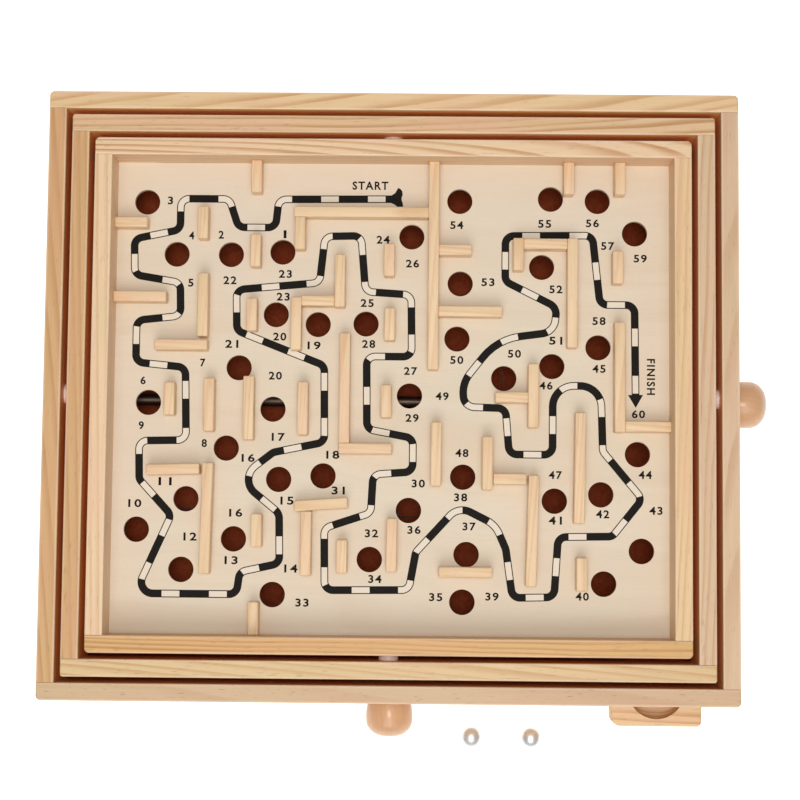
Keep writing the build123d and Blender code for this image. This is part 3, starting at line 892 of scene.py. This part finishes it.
@dataclass
class BallTray:
    """The block in front of the port, with a round pocket for the balls that have dropped."""

    node: str = "ball_tray"
    left_corner: float = 5.0 * MM
    right_corner: float = 3.0 * MM
    easing: float = 0.8 * MM
    rim: float = 4.0 * MM  # left in front of the pocket
    pocket_radius: float = 15.3 * MM
    pocket_floor: float = 5.0 * MM
    pocket_bottom: float = 3.0 * MM  # rounding at the foot of the pocket's wall
    slack: float = 0.1 * MM  # within which an edge counts as lying on a side

    def build(self) -> None:
        """Cut the pocket out of the rounded block."""
        low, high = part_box(self.node)
        shapes = {"block": self._block(low, high), "cutter": self._cutter(low, high)}
        holders = [shown(name, meshed(name, shape)) for name, shape in shapes.items()]
        cut = holders[0].modifiers.new("pocket", "BOOLEAN")
        cut.object = holders[1]
        cut.solver = "EXACT"
        bpy.context.view_layer.update()
        evaluated = holders[0].evaluated_get(bpy.context.evaluated_depsgraph_get())
        cut_mesh = bpy.data.meshes.new_from_object(evaluated)
        bm = bmesh.new()
        bm.from_mesh(cut_mesh)
        for holder in holders:
            bpy.data.objects.remove(holder)
        bpy.data.meshes.remove(cut_mesh)
        crease(bm)
        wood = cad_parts[self.node].material_slots[0].material
        Piece(f"{self.node}_rounded", "pine", wood, "box", (self.node,)).build(bm)

    def _block(self, low: Vector, high: Vector) -> bmesh.types.BMesh:
        """Return the block with its front corners rounded and its top edges eased."""
        bm = bmesh.new()
        place = Matrix.Translation((low + high) / 2) @ Matrix.Diagonal((*(high - low), 1.0))
        bmesh.ops.create_cube(bm, size=1.0, matrix=place)
        for side_x, radius in ((low.x, self.left_corner), (high.x, self.right_corner)):
            upright = [
                edge for edge in bm.edges
                if abs(edge.verts[0].co.z - edge.verts[1].co.z) > radius
                and edge.verts[0].co.y < low.y + self.slack
                and abs(edge.verts[0].co.x - side_x) < self.slack
            ]
            bmesh.ops.bevel(bm, geom=upright, offset=radius, affect="EDGES", segments=12, profile=0.5)
        top = [
            edge for edge in bm.edges
            if min(vert.co.z for vert in edge.verts) > high.z - 0.01 * MM
            and min(vert.co.y for vert in edge.verts) < high.y - 0.01 * MM
        ]
        bmesh.ops.bevel(bm, geom=top, offset=self.easing, affect="EDGES", segments=3, profile=0.5)
        return bm

    def _cutter(self, low: Vector, high: Vector) -> bmesh.types.BMesh:
        """Return the pocket's shape."""
        foot = self.pocket_radius - self.pocket_bottom
        stations = [(0.0, self.pocket_floor)]
        for share in range(9):
            turn = share / 8 * math.pi / 2
            stations.append((
                foot + self.pocket_bottom * math.sin(turn),
                self.pocket_floor + self.pocket_bottom * (1 - math.cos(turn)),
            ))
        above = high.z - low.z + 1 * MM
        stations += [(self.pocket_radius, above), (0.0, above)]
        centre = Vector(((low.x + high.x) / 2, low.y + self.rim + self.pocket_radius, low.z))
        return lathe(stations, centre, Vector((0, 0, 1)))


# --------------------------------------------------------------------------------------- wall strips
@dataclass
class WallStrips:
    """The low strips that make the maze's walls, with sanded edges and a grain of their own each."""

    nodes: tuple[str, ...] = (
        "short_strips", "stub_strips", "medium_strips", "long_strips",
        "barrier_strips", "gate_strip", "beam_strip", "divider_strip",
    )
    sanding: float = 0.65 * MM
    seed: int = 11

    def build(self) -> None:
        """Make every group of strips."""
        rng = random.Random(self.seed)
        material = Timber(
            name="strip_pine",
            way=GrainWay.OWN,
            early=srgb(237, 208, 170),
            late=srgb(214, 166, 116),
            ring=2.6 * MM,
            pith=(9 * MM, -16 * MM),
            lean=(0.05, 0.03),
            contrast=0.5,
            streaks=0.12,
            gloss=0.08,
        ).material()
        for node in self.nodes:
            piece = Piece(f"{node}_sanded", "strip_pine", material, "maze_frame", (node,))
            piece.build(self._sanded(node, rng))

    def _sanded(self, node: str, rng: random.Random) -> bmesh.types.BMesh:
        """Copy a group of strips with their edges eased and their grain marked on them.

        Args:
            node: The CAD node that the strips come from.
            rng: Draws each strip's place in its log.

        Returns:
            The strips.
        """
        bm = bmesh.new()
        bm.from_mesh(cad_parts[node].data)
        bmesh.ops.remove_doubles(bm, verts=bm.verts, dist=0.001 * MM)
        bmesh.ops.dissolve_limit(bm, angle_limit=math.radians(2), verts=bm.verts, edges=bm.edges)
        grain = bm.verts.layers.float_vector.new("grain")
        for verts in islands(bm):
            self._mark(verts, grain, rng)
        bmesh.ops.bevel(
            bm, geom=bm.edges, offset=self.sanding, affect="EDGES", segments=3, profile=0.5, material=-1
        )
        crease(bm, 50.0)
        return bm

    def _mark(
        self, verts: list[bmesh.types.BMVert], grain: bmesh.types.BMLayerItem, rng: random.Random
    ) -> None:
        """Write each corner's place along and across one strip's grain."""
        low = min(vert.co.z for vert in verts)
        base = [vert for vert in verts if vert.co.z < low + 1 * MM]
        middle = sum((vert.co for vert in base), Vector()) / len(base)
        edges = sorted(((vert.co - base[0].co) for vert in base[1:]), key=lambda arm: arm.length)
        along = edges[-2].normalized()
        across = Vector((-along.y, along.x, 0.0))
        shift = Vector((rng.uniform(-2, 2), rng.uniform(-7 * MM, 7 * MM), rng.uniform(-9 * MM, 9 * MM)))
        for vert in verts:
            arm = vert.co - middle
            vert[grain] = Vector((arm.dot(along), arm.dot(across), arm.z)) + shift


def islands(bm: bmesh.types.BMesh) -> list[list[bmesh.types.BMVert]]:
    """Sort a mesh's vertices into its separate solids, in a steady order."""
    left, found = set(bm.verts), []
    for start in list(bm.verts):
        if start not in left:
            continue
        group, waiting = [], [start]
        left.discard(start)
        while waiting:
            vert = waiting.pop()
            group.append(vert)
            for edge in vert.link_edges:
                far = edge.other_vert(vert)
                if far in left:
                    left.discard(far)
                    waiting.append(far)
        found.append(group)
    return found


# ------------------------------------------------------------------------------------ printed course
@dataclass(frozen=True)
class Bend:
    """A corner of the printed course, in millimetres from the board's middle, and its rounding."""

    x: float
    y: float
    radius: float = 4.5


COURSE = (
    Bend(-1, 104.5), Bend(-60, 104), Bend(-61.5, 89), Bend(-81, 89), Bend(-86, 104), Bend(-111.5, 104),
    Bend(-111.5, 87.5), Bend(-135.5, 82.5), Bend(-135, 63.5), Bend(-111, 59.5), Bend(-110.5, 42),
    Bend(-133.5, 39.5), Bend(-133.5, 17.5), Bend(-107.5, 15), Bend(-106.5, -23), Bend(-131, -23.5),
    Bend(-130.5, -43.5), Bend(-113.5, -62), Bend(-131.5, -102.5, 6), Bend(-79, -102.5), Bend(-77.5, -91),
    Bend(-57, -86.5), Bend(-57.5, -60.5, 6), Bend(-79, -43, 9), Bend(-61, -29), Bend(-34.5, -23.5),
    Bend(-35, 16.5), Bend(-81, 34.5), Bend(-81.5, 56), Bend(-38, 60), Bend(-35.5, 84.5), Bend(-16.5, 85),
    Bend(-14, 55.5), Bend(10, 54), Bend(10.5, 21.5), Bend(-13, 21.5), Bend(-12.5, -16.5), Bend(11.5, -21),
    Bend(11.5, -38.5), Bend(-9, -40), Bend(-10, -60), Bend(-34, -68), Bend(-33.5, -100), Bend(10, -99.5),
    Bend(13.5, -80), Bend(35.5, -56, 9), Bend(54.5, -65.5, 14), Bend(60, -78, 10), Bend(63.5, -103),
    Bend(85, -102.5), Bend(87, -71.5), Bend(115, -71), Bend(130.5, -51.5), Bend(110, -27),
    Bend(109, 7, 11), Bend(84, 7, 11), Bend(84, -29), Bend(61.5, -29), Bend(59.5, -5), Bend(38, -4.5, 6),
    Bend(37, 8, 20), Bend(55, 31, 30), Bend(84.5, 35, 8), Bend(86, 48, 6), Bend(59, 61.5), Bend(59, 85.5),
    Bend(104.5, 86),
    Bend(108.5, 49.5), Bend(126.5, 49.5), Bend(127, 2.5),
)

TAIL = (
    Bend(-1.0, 106.4), Bend(1.0, 107.7), Bend(2.0, 109.4), Bend(2.6, 110.6), Bend(3.8, 110.0),
    Bend(4.8, 108.7), Bend(5.0, 106.9), Bend(4.4, 105.1), Bend(4.5, 103.9), Bend(5.1, 102.3),
    Bend(5.2, 100.5), Bend(2.2, 100.5), Bend(1.0, 101.5), Bend(-1.0, 102.5),
)


class RibbonPen:
    """A pen that draws a flat ribbon on the board as it is led along and round bends."""

    def __init__(self, width: float, height: float, start: Vector, heading: float) -> None:
        """Set the pen on the board.

        Args:
            width: The ribbon's width.
            height: The height of the board's face.
            start: Where it starts.
            heading: The way it faces, in radians from +X.
        """
        self.bm = bmesh.new()
        self.half = width / 2
        self.height = height
        self.at = start.copy()
        self.heading = heading
        self.edge: Optional[bmesh.types.BMEdge] = None

    def _ahead(self) -> Vector:
        """Return the way that the pen faces."""
        return Vector((math.cos(self.heading), math.sin(self.heading), 0.0))

    def _lower(self) -> bmesh.types.BMEdge:
        """Return the ribbon's leading edge, set down here if the pen was up."""
        if self.edge is None:
            left = Vector((-math.sin(self.heading), math.cos(self.heading), 0.0)) * self.half
            base = Vector((self.at.x, self.at.y, self.height))
            ends = [self.bm.verts.new(base + left), self.bm.verts.new(base - left)]
            self.edge = self.bm.edges.new(ends)
        return self.edge

    def lift(self) -> None:
        """End the stretch of ribbon."""
        self.edge = None

    def forward(self, length: float, inked: bool) -> None:
        """Move straight on, with ink or without."""
        step = self._ahead() * length
        if inked:
            grown = bmesh.ops.extrude_edge_only(self.bm, edges=[self._lower()])["geom"]
            verts = [item for item in grown if isinstance(item, bmesh.types.BMVert)]
            bmesh.ops.translate(self.bm, verts=verts, vec=step)
            self.edge = next(
                item for item in grown
                if isinstance(item, bmesh.types.BMEdge) and set(item.verts) == set(verts)
            )
        self.at += step

    def bend(self, radius: float, angle: float, inked: bool) -> None:
        """Move round an arc that turns by an angle, to the left where it is positive."""
        side = math.copysign(1.0, angle)
        left = Vector((-math.sin(self.heading), math.cos(self.heading), 0.0))
        centre = self.at + left * (radius * side)
        if inked:
            edge = self._lower()
            steps = max(1, math.ceil(abs(math.degrees(angle)) / 7.5))
            spun = bmesh.ops.spin(
                self.bm,
                geom=[*edge.verts, edge],
                cent=Vector((centre.x, centre.y, self.height)),
                axis=Vector((0, 0, 1)),
                angle=angle,
                steps=steps,
            )
            self.edge = next(item for item in spun["geom_last"] if isinstance(item, bmesh.types.BMEdge))
        self.at = centre + Matrix.Rotation(angle, 3, "Z") @ (self.at - centre)
        self.heading += angle

    def printed(self, thickness: float) -> bmesh.types.BMesh:
        """Give the ribbon the thickness of a coat of ink and return it."""
        bmesh.ops.remove_doubles(self.bm, verts=self.bm.verts, dist=0.001 * MM)
        return thickened(self.bm, thickness)


def thickened(bm: bmesh.types.BMesh, thickness: float) -> bmesh.types.BMesh:
    """Raise flat faces into thin closed slabs.

    Args:
        bm: The flat faces.
        thickness: How far they rise.

    Returns:
        The same mesh.
    """
    raised = bmesh.ops.extrude_face_region(bm, geom=bm.faces[:], use_keep_orig=True)["geom"]
    verts = [item for item in raised if isinstance(item, bmesh.types.BMVert)]
    bmesh.ops.translate(bm, verts=verts, vec=(0, 0, thickness))
    bmesh.ops.recalc_face_normals(bm, faces=bm.faces)
    return bm


@dataclass
class PrintedCourse:
    """The dashed course from START to FINISH, with its fork and its arrowhead."""

    middle: Vector
    black: bpy.types.Material
    pale: bpy.types.Material
    width: float = 4.0 * MM
    outline: float = 0.5 * MM
    pale_dash: float = 9.2 * MM
    first_black: float = 3.0 * MM
    # The artwork was set out in stretches: how many pale dashes each has, and their spacing.
    stretches: tuple[tuple[int, float], ...] = (
        (20, 24.55 * MM), (20, 23.55 * MM), (20, 23.95 * MM), (14, 24.7 * MM),
    )
    head_radius: float = 4.5 * MM
    head_reach: float = 2.25 * MM  # from the course's end to the arrowhead's middle
    ink: float = 0.03 * MM
    gap: float = 0.01 * MM  # that keeps the ink off the board's own face

    def build(self) -> None:
        """Print the course."""
        lead = self._pen(self.width, self.gap)
        for kind, *values in self._legs():
            if kind == "run":
                lead.forward(values[0], True)
            else:
                lead.bend(values[0], values[1], True)
        tip, heading = lead.at.copy(), lead.heading
        bm = lead.printed(self.ink)
        self._fork(bm)
        self._arrowhead(bm, tip, heading)
        Piece("printed_course_black", "plywood", self.black, "maze_frame").build(bm)
        dashes = self._pen(self.width - 2 * self.outline, self.gap + self.ink)
        self._dashes(dashes)
        Piece("printed_course_pale", "plywood", self.pale, "maze_frame").build(dashes.printed(self.ink))

    def _pen(self, width: float, lift: float) -> RibbonPen:
        """Return a pen at the course's start."""
        first, second = self._point(COURSE[0]), self._point(COURSE[1])
        way = second - first
        return RibbonPen(width, self.middle.z + lift, first, math.atan2(way.y, way.x))

    def _point(self, bend: Bend) -> Vector:
        """Return a bend's place in the row's frame."""
        return Vector((self.middle.x + bend.x * MM, self.middle.y + bend.y * MM, 0.0))

    def _legs(self) -> list[tuple]:
        """Return the course as straight runs and arcs, in order."""
        points = [self._point(bend) for bend in COURSE]
        legs, trimmed = [], 0.0
        for index in range(1, len(points)):
            run = points[index] - points[index - 1]
            if index == len(points) - 1:
                legs.append(("run", run.length - trimmed))
                break
            following = points[index + 1] - points[index]
            turn = math.atan2(run.x * following.y - run.y * following.x, run.dot(following))
            share = math.tan(abs(turn) / 2)
            room = 0.5 * min(run.length, following.length) * 0.98
            radius = min(COURSE[index].radius * MM, room / share)
            cut = radius * share
            legs.append(("run", run.length - trimmed - cut))
            legs.append(("arc", radius, turn))
            trimmed = cut
        return legs

    def _dashes(self, pen: RibbonPen) -> None:
        """Draw the pale dashes that lie on the black ribbon."""
        inked, left = False, self.first_black
        blacks = iter([spacing - self.pale_dash for count, spacing in self.stretches for _ in range(count)])
        for kind, *values in self._legs():
            length = values[0] if kind == "run" else values[0] * abs(values[1])
            while length > 1e-9:
                step = min(length, left)
                if kind == "run":
                    pen.forward(step, inked)
                else:
                    pen.bend(values[0], math.copysign(step / values[0], values[1]), inked)
                length -= step
                left -= step
                if left < 1e-9:
                    pen.lift()
                    inked = not inked
                    left = self.pale_dash if inked else next(blacks, math.inf)

    def _fork(self, bm: bmesh.types.BMesh) -> None:
        """Add the fish's tail at START, which the course grows out of."""
        tail = bmesh.new()
        height = self.middle.z + self.gap
        corners = [self._point(corner) for corner in TAIL]
        tail.faces.new([tail.verts.new((corner.x, corner.y, height)) for corner in corners])
        self._print(bm, tail)

    def _arrowhead(self, bm: bmesh.types.BMesh, tip: Vector, heading: float) -> None:
        """Add the arrowhead at FINISH."""
        at = tip + Vector((math.cos(heading), math.sin(heading), 0.0)) * self.head_reach
        place = Matrix.Translation((at.x, at.y, self.middle.z + self.gap))
        turn = Matrix.Rotation(heading - math.pi / 2, 4, "Z")
        head = bmesh.new()
        bmesh.ops.create_circle(
            head, cap_ends=True, segments=3, radius=self.head_radius, matrix=place @ turn
        )
        self._print(bm, head)

    def _print(self, bm: bmesh.types.BMesh, shape: bmesh.types.BMesh) -> None:
        """Add one flat shape of ink, and free it."""
        thickened(shape, self.ink)
        made = meshed("print", shape)
        bm.from_mesh(made)
        bpy.data.meshes.remove(made)


# --------------------------------------------------------------------------------------- lettering
@dataclass(frozen=True)
class Label:
    """A printed word or number: its middle in millimetres from the board's, and its size there."""

    text: str
    x: float
    y: float
    width: float
    height: float
    turn: float = 0.0


WORDS = (
    Label("START", -12, 111.6, 18.8, 4.5),
    Label("FINISH", 135, 12, 18.8, 4.3, -90.0),
)
NUMBERS = (
    (3, -117, 103), (4, -105.5, 84.5), (2, -90, 85), (1, -56.5, 85.5), (5, -105.5, 59.5), (22, -85, 61),
    (23, -56, 64.5), (24, -5, 83), (26, 10.5, 70.5), (54, 33.5, 91), (55, 79.5, 92), (56, 104.5, 92.5),
    (57, 112.5, 80.5), (59, 129.5, 74), (52, 85.5, 57.5), (53, 50, 61), (6, -129.5, 8), (9, -130, -15.5),
    (7, -98.5, 17.5), (21, -83.5, 27.5), (8, -97, -24.5), (11, -117, -44.5), (23, -57, 52.5),
    (20, -58.5, 31.5),
    (19, -40.5, 27), (25, -13, 49.5), (28, -12, 28), (27, 10, 14), (29, 11, -10.5), (20, -60.5, 11),
    (17, -58.5, -21), (16, -74, -32), (18, -30, -30), (31, -27, -48.5), (50, 34, 20), (50, 64, 23.5),
    (51, 85.5, 30.5), (46, 80.5, 7), (58, 108, 41), (45, 108, 16), (49, 26.5, 1), (48, 37, -28.5),
    (47, 85.5, -39.5), (30, 14.5, -44.5), (60, 128.5, -7.5), (44, 132, -39), (10, -132.5, -56),
    (12, -103.5, -73), (16, -80, -60.5), (13, -82, -85), (15, -53.5, -54), (14, -51, -89), (33, -45, -106.5),
    (32, -9.5, -70.5), (34, -7.5, -94), (36, 12.5, -68.5), (38, 36.5, -51.5), (37, 41, -66.5),
    (35, 24, -103),
    (39, 53, -102.5), (41, 85.5, -63), (42, 110, -59.5), (43, 137.5, -57.5), (40, 99.5, -102),
)


@dataclass
class Lettering:
    """The board's printed numbers and its two plain words."""

    middle: Vector
    ink: bpy.types.Material
    figure_width: float = 2.75
    figure_height: float = 4.2
    one_width: float = 1.5
    figure_step: float = 4.1  # what each further figure adds
    lift: float = 0.01 * MM
    thickness: float = 0.03 * MM
    boldness: float = 0.026  # of the type's size
    spacing: float = 1.2

    def build(self) -> None:
        """Print every label as one piece."""
        bm = bmesh.new()
        for number, x, y in NUMBERS:
            width = self.figure_width + self.figure_step * (len(str(number)) - 1)
            self._print(bm, Label(str(number), x, y, width, self.figure_height))
        for word in WORDS:
            self._print(bm, word)
        Piece("printed_lettering", "plywood", self.ink, "maze_frame").build(bm)

    def _print(self, bm: bmesh.types.BMesh, label: Label) -> None:
        """Add one label to the mesh, scaled to its size and set in its place."""
        curve = bpy.data.curves.new("label", "FONT")
        curve.body = label.text
        curve.size = 1.0
        curve.offset = self.boldness
        curve.space_character = self.spacing
        curve.resolution_u = 3
        curve.fill_mode = "FRONT"
        holder = shown("label", curve)
        bpy.context.view_layer.update()
        mesh = bpy.data.meshes.new_from_object(holder)
        bpy.data.objects.remove(holder)
        bpy.data.curves.remove(curve)
        shape = bmesh.new()
        shape.from_mesh(mesh)
        bmesh.ops.remove_doubles(shape, verts=shape.verts, dist=1e-5)
        low = Vector((min(v.co.x for v in shape.verts), min(v.co.y for v in shape.verts), 0.0))
        high = Vector((max(v.co.x for v in shape.verts), max(v.co.y for v in shape.verts), 0.0))
        wide = self.one_width if label.text == "1" else label.width
        size = high - low
        scale = Matrix.Diagonal((wide * MM / size.x, label.height * MM / size.y, 1.0, 1.0))
        at = Vector((self.middle.x + label.x * MM, self.middle.y + label.y * MM, self.middle.z + self.lift))
        place = Matrix.Translation(at) @ Matrix.Rotation(math.radians(label.turn), 4, "Z") @ scale
        bmesh.ops.transform(shape, verts=shape.verts, matrix=place @ Matrix.Translation(-(low + high) / 2))
        thickened(shape, self.thickness)
        shape.to_mesh(mesh)
        shape.free()
        bm.from_mesh(mesh)
        bpy.data.meshes.remove(mesh)


@dataclass
class MazeBoard:
    """The drilled board with its strips and its print."""

    thickness: float = 3.0 * MM

    def build(self) -> None:
        """Dress the board, make the strips and print on it."""
        low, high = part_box("maze_board")
        board = Plywood(
            name="board_plywood",
            face=srgb(229, 216, 197),
            shadow=srgb(218, 200, 176),
            core=srgb(186, 142, 96),
            top=high.z,
            thickness=self.thickness,
        )
        coloured("maze_board", board.material())
        WallStrips().build()
        black = Ink("black_ink", srgb(27, 25, 23), srgb(52, 46, 40)).material()
        pale = Ink("pale_ink", srgb(236, 226, 212), srgb(226, 212, 194)).material()
        middle = Vector(((low.x + high.x) / 2, (low.y + high.y) / 2, high.z))
        PrintedCourse(middle, black, pale).build()
        Lettering(middle, black).build()


# ------------------------------------------------------------------------------------------- drives
@dataclass
class Knob:
    """A turned knob that swells from its neck and is rounded well over at its outer end."""

    node: str
    body: str
    axis: Vector
    neck: float = 0.824  # of the radius, at the wall
    bulge_at: float = 0.5  # of the length
    shoulder: float = 0.992  # of the radius
    shoulder_at: float = 0.591
    rim: float = 0.16
    rim_at: float = 0.986
    easing: float = 0.35 * MM  # of the edge at the wall

    def build(self) -> None:
        """Turn the knob in its CAD node's place."""
        low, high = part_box(self.node)
        size = high - low
        length = abs(size.dot(self.axis))
        radius = size.z / 2
        middle = (low + high) / 2
        base = middle - self.axis * (length / 2)
        neck = radius * self.neck
        stations = [(0.0, 0.0), (neck - self.easing, 0.0), (neck, self.easing)]
        stations += [self._barrel(radius, length, share / 12) for share in range(1, 13)]
        stations += [self._end(radius, length, share / 14) for share in range(1, 15)]
        stations += [(radius * self.rim * 0.5, length * 0.993), (0.0, length)]
        bm = lathe(stations, base, self.axis)
        crease(bm, 40.0)
        turning = Turning.ABOUT_X if abs(self.axis.x) > 0.5 else Turning.ABOUT_Y
        wood = LacqueredWood(
            name=f"{self.node}_wood",
            turning=turning,
            body=srgb(210, 166, 128),
            vein=srgb(190, 142, 102),
            axis_height=middle.z,
        )
        Piece(f"{self.node}_turned", "lacquered_wood", wood.material(), self.body, (self.node,)).build(bm)

    def _barrel(self, radius: float, length: float, share: float) -> Station:
        """Return a station from the neck over the bulge to the shoulder."""
        start, end = self.easing / length, self.shoulder_at
        at = start + (end - start) * share
        if at < self.bulge_at:
            drop = (1 - self.neck) * ((self.bulge_at - at) / self.bulge_at) ** 2
        else:
            drop = (1 - self.shoulder) * ((at - self.bulge_at) / (end - self.bulge_at)) ** 2
        return radius * (1 - drop), length * at

    def _end(self, radius: float, length: float, share: float) -> Station:
        """Return a station on the elliptical rounding of the outer end."""
        turn = share * math.pi / 2
        return (
            radius * (self.rim + (self.shoulder - self.rim) * math.cos(turn)),
            length * (self.shoulder_at + (self.rim_at - self.shoulder_at) * math.sin(turn)),
        )


@dataclass
class Drives:
    """The two shafts with their knobs, bushes and collars, and the cords that tilt the frames."""

    cord_radius: float = 0.5 * MM
    cord_turns: int = 3
    plies: int = 3
    ply_share: float = 0.54  # a ply's radius over the cord's
    twist: float = 3.6 * MM  # length of one full twist of the twine
    spring_wire: float = 0.5 * MM
    spring_radius: float = 2.25 * MM
    coil_spacing: float = 1.45  # wire diameters from coil to coil
    tail: float = 2.0 * MM

    def build(self) -> None:
        """Make both drives."""
        drawn_x = Steel("drawn_steel_x", srgb(112, 96, 84), 0.5, (40.0, 5200.0, 5200.0)).material()
        drawn_y = Steel("drawn_steel_y", srgb(112, 96, 84), 0.5, (5200.0, 40.0, 5200.0)).material()
        wire = Steel("spring_wire", srgb(178, 178, 184), 0.35, (900.0, 900.0, 900.0)).material()
        nylon = Nylon("natural_nylon", srgb(240, 228, 220)).material()
        twine = Thread("waxed_twine", srgb(92, 56, 38), srgb(58, 34, 22)).material()

        for place, metal in (("right", drawn_x), ("front", drawn_y)):
            coloured(f"{place}_shaft", metal)
            coloured(f"{place}_shaft_collar", metal)
            coloured(f"{place}_shaft_bush", nylon)
            coloured(f"{place}_shaft_end_bush", nylon)
        for place in ("left", "right", "front", "back"):
            coloured(f"{place}_pivot_pin", drawn_x if place in ("left", "right") else drawn_y)
            coloured(f"{place}_pivot_spacer", nylon)
        coloured("base_nails", wire)
        for name in ("right_cord_front", "right_cord_back", "front_cord_left", "front_cord_right"):
            coloured(f"{name}_eye", wire)

        Knob("right_knob", "right_drive", Vector((1, 0, 0))).build()
        Knob("front_knob", "front_drive", Vector((0, -1, 0))).build()
        self._winding("right", Vector((1, 0, 0)), "right_drive", twine)
        self._winding("front", Vector((0, 1, 0)), "front_drive", twine)
        self._runs(twine)
        self._spring("right_cord_back_spring", "middle_frame", Vector((0, 1, 0)), wire)
        self._spring("front_cord_right_spring", "maze_frame", Vector((1, 0, 0)), wire)

    def _winding(self, place: str, axis: Vector, body: str, twine: bpy.types.Material) -> None:
        """Wind the cord's turns on a shaft."""
        node = f"{place}_cord_winding"
        low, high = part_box(node)
        middle = (low + high) / 2
        coil_radius = (high.z - low.z) / 2 - self.cord_radius
        span = abs((high - low).dot(axis)) - 2 * self.cord_radius
        bm = bmesh.new()
        pitch = span / self.cord_turns
        Helix(
            middle - axis * (span / 2), axis, coil_radius, self.cord_radius, pitch, self.cord_turns,
            towards=Vector((0, 0, 1)), steps_per_turn=40, sides=12,
        ).add_to(bm)
        crease(bm, 60.0)
        Piece(f"{node}_turns", "cord", twine, body, (node,)).build(bm)

    def _runs(self, twine: bpy.types.Material) -> None:
        """Stretch the four cord runs. Those to the maze frame cross two joints, so they are in halves."""
        for name, way in (("right_cord_front", Vector((0, -1, 0))), ("right_cord_back", Vector((0, 1, 0)))):
            start, end = self._ends(f"{name}_run", way)
            piece = Piece(f"{name}_run_twisted", "cord", twine, None, (f"{name}_run",))
            run = piece.build(self._twine(start, end))
            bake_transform(run)
        for name, way in (("front_cord_left", Vector((-1, 0, 0))), ("front_cord_right", Vector((1, 0, 0)))):
            start, end = self._ends(f"{name}_run", way)
            halfway = (start + end) / 2
            halves = (
                ("lower", start, halfway, "box", "middle_frame"),
                ("upper", halfway, end, "middle_frame", "maze_frame"),
            )
            for half, first, last, body_a, body_b in halves:
                piece = Piece(f"{name}_run_{half}", "cord", twine, None, (f"{name}_run",))
                run = piece.build(self._twine(first, last))
                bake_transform(run)

    def _ends(self, node: str, way: Vector) -> tuple[Vector, Vector]:
        """Return the two ends of a straight run that climbs along a way."""
        low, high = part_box(node)
        across = Vector((abs(way.y), abs(way.x), 0.0))
        middle = (low + high) / 2
        half = abs((high - low).dot(way)) / 2
        rise = (high.z - low.z) / 2 - self.cord_radius
        side = across * middle.dot(across)
        along = way * middle.dot(way)
        centre = side + along + Vector((0, 0, middle.z))
        return centre - way * half - Vector((0, 0, rise)), centre + way * half + Vector((0, 0, rise))

    def _twine(self, start: Vector, end: Vector) -> bmesh.types.BMesh:
        """Lay three plies of twine from one point to another."""
        bm = bmesh.new()
        axis = (end - start).normalized()
        length = (end - start).length
        ply_radius = self.cord_radius * self.ply_share
        for ply in range(self.plies):
            Helix(
                start, axis, self.cord_radius - ply_radius, ply_radius, self.twist, length / self.twist,
                phase=ply * math.tau / self.plies, steps_per_turn=10, sides=6,
            ).add_to(bm)
        crease(bm, 75.0)
        return bm

    def _spring(self, node: str, body: str, way: Vector, wire: bpy.types.Material) -> None:
        """Wind a tension spring with a straight tail towards its eye."""
        start, end = self._spring_ends(node, way)
        axis = (end - start).normalized()
        coil_length = (end - start).length - self.tail
        coil_radius = self.spring_radius - self.spring_wire / 2
        turns = coil_length / (self.spring_wire * self.coil_spacing)
        bm = bmesh.new()
        Helix(
            start, axis, coil_radius, self.spring_wire / 2, coil_length / turns, turns,
            steps_per_turn=20, sides=6,
        ).add_to(bm)
        turn = axis.to_track_quat("Z", "Y").to_matrix().to_4x4()
        tail_place = Matrix.Translation(end - axis * (self.tail / 2)) @ turn
        bmesh.ops.create_cone(
            bm, cap_ends=True, segments=8, radius1=self.spring_wire / 2, radius2=self.spring_wire / 2,
            depth=self.tail, matrix=tail_place,
        )
        crease(bm, 60.0)
        Piece(f"{node}_coiled", "steel", wire, body, (node,)).build(bm)

    def _spring_ends(self, node: str, way: Vector) -> tuple[Vector, Vector]:
        """Return a spring's two ends, on the line that its cord run climbs."""
        run = node.replace("_spring", "_run")
        start, end = self._ends(run, way)
        axis = (end - start).normalized()
        low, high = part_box(node)
        reach = (high.dot(way) - end.dot(way)) / axis.dot(way)
        return end, end + axis * reach


# -------------------------------------------------------------------------------------------- balls
@dataclass
class Balls:
    """Two polished steel balls that wait on the table."""

    names: tuple[str, ...] = ("ball_1", "ball_2")

    def build(self) -> None:
        """Make both balls."""
        mirror = Steel("polished_ball", srgb(232, 234, 236), 0.42, (2600.0, 2600.0, 2600.0)).material()
        for name in self.names:
            low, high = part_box(name)
            bm = bmesh.new()
            bmesh.ops.create_icosphere(
                bm, subdivisions=5, radius=(high.z - low.z) / 2, matrix=Matrix.Translation((low + high) / 2)
            )
            crease(bm, 60.0)
            Piece(f"{name}_polished", "polished_steel", mirror, name, (name,)).build(bm)


def dress_panels() -> None:
    """Give the hidden panels their fibreboard."""
    board = Hardboard("brown_hardboard", srgb(172, 78, 38), srgb(148, 58, 26)).material()
    for node in ("base_panel", "catch_floor"):
        coloured(node, board)


def main() -> None:
    """Build the studio and dress the whole game."""
    logging.basicConfig(level=logging.INFO, format="%(name)s: %(message)s")
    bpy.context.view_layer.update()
    Studio().build()
    Woodwork().dress()
    BallTray().build()
    dress_panels()
    MazeBoard().build()
    Drives().build()
    Balls().build()


if __name__ == "__main__":
    main()
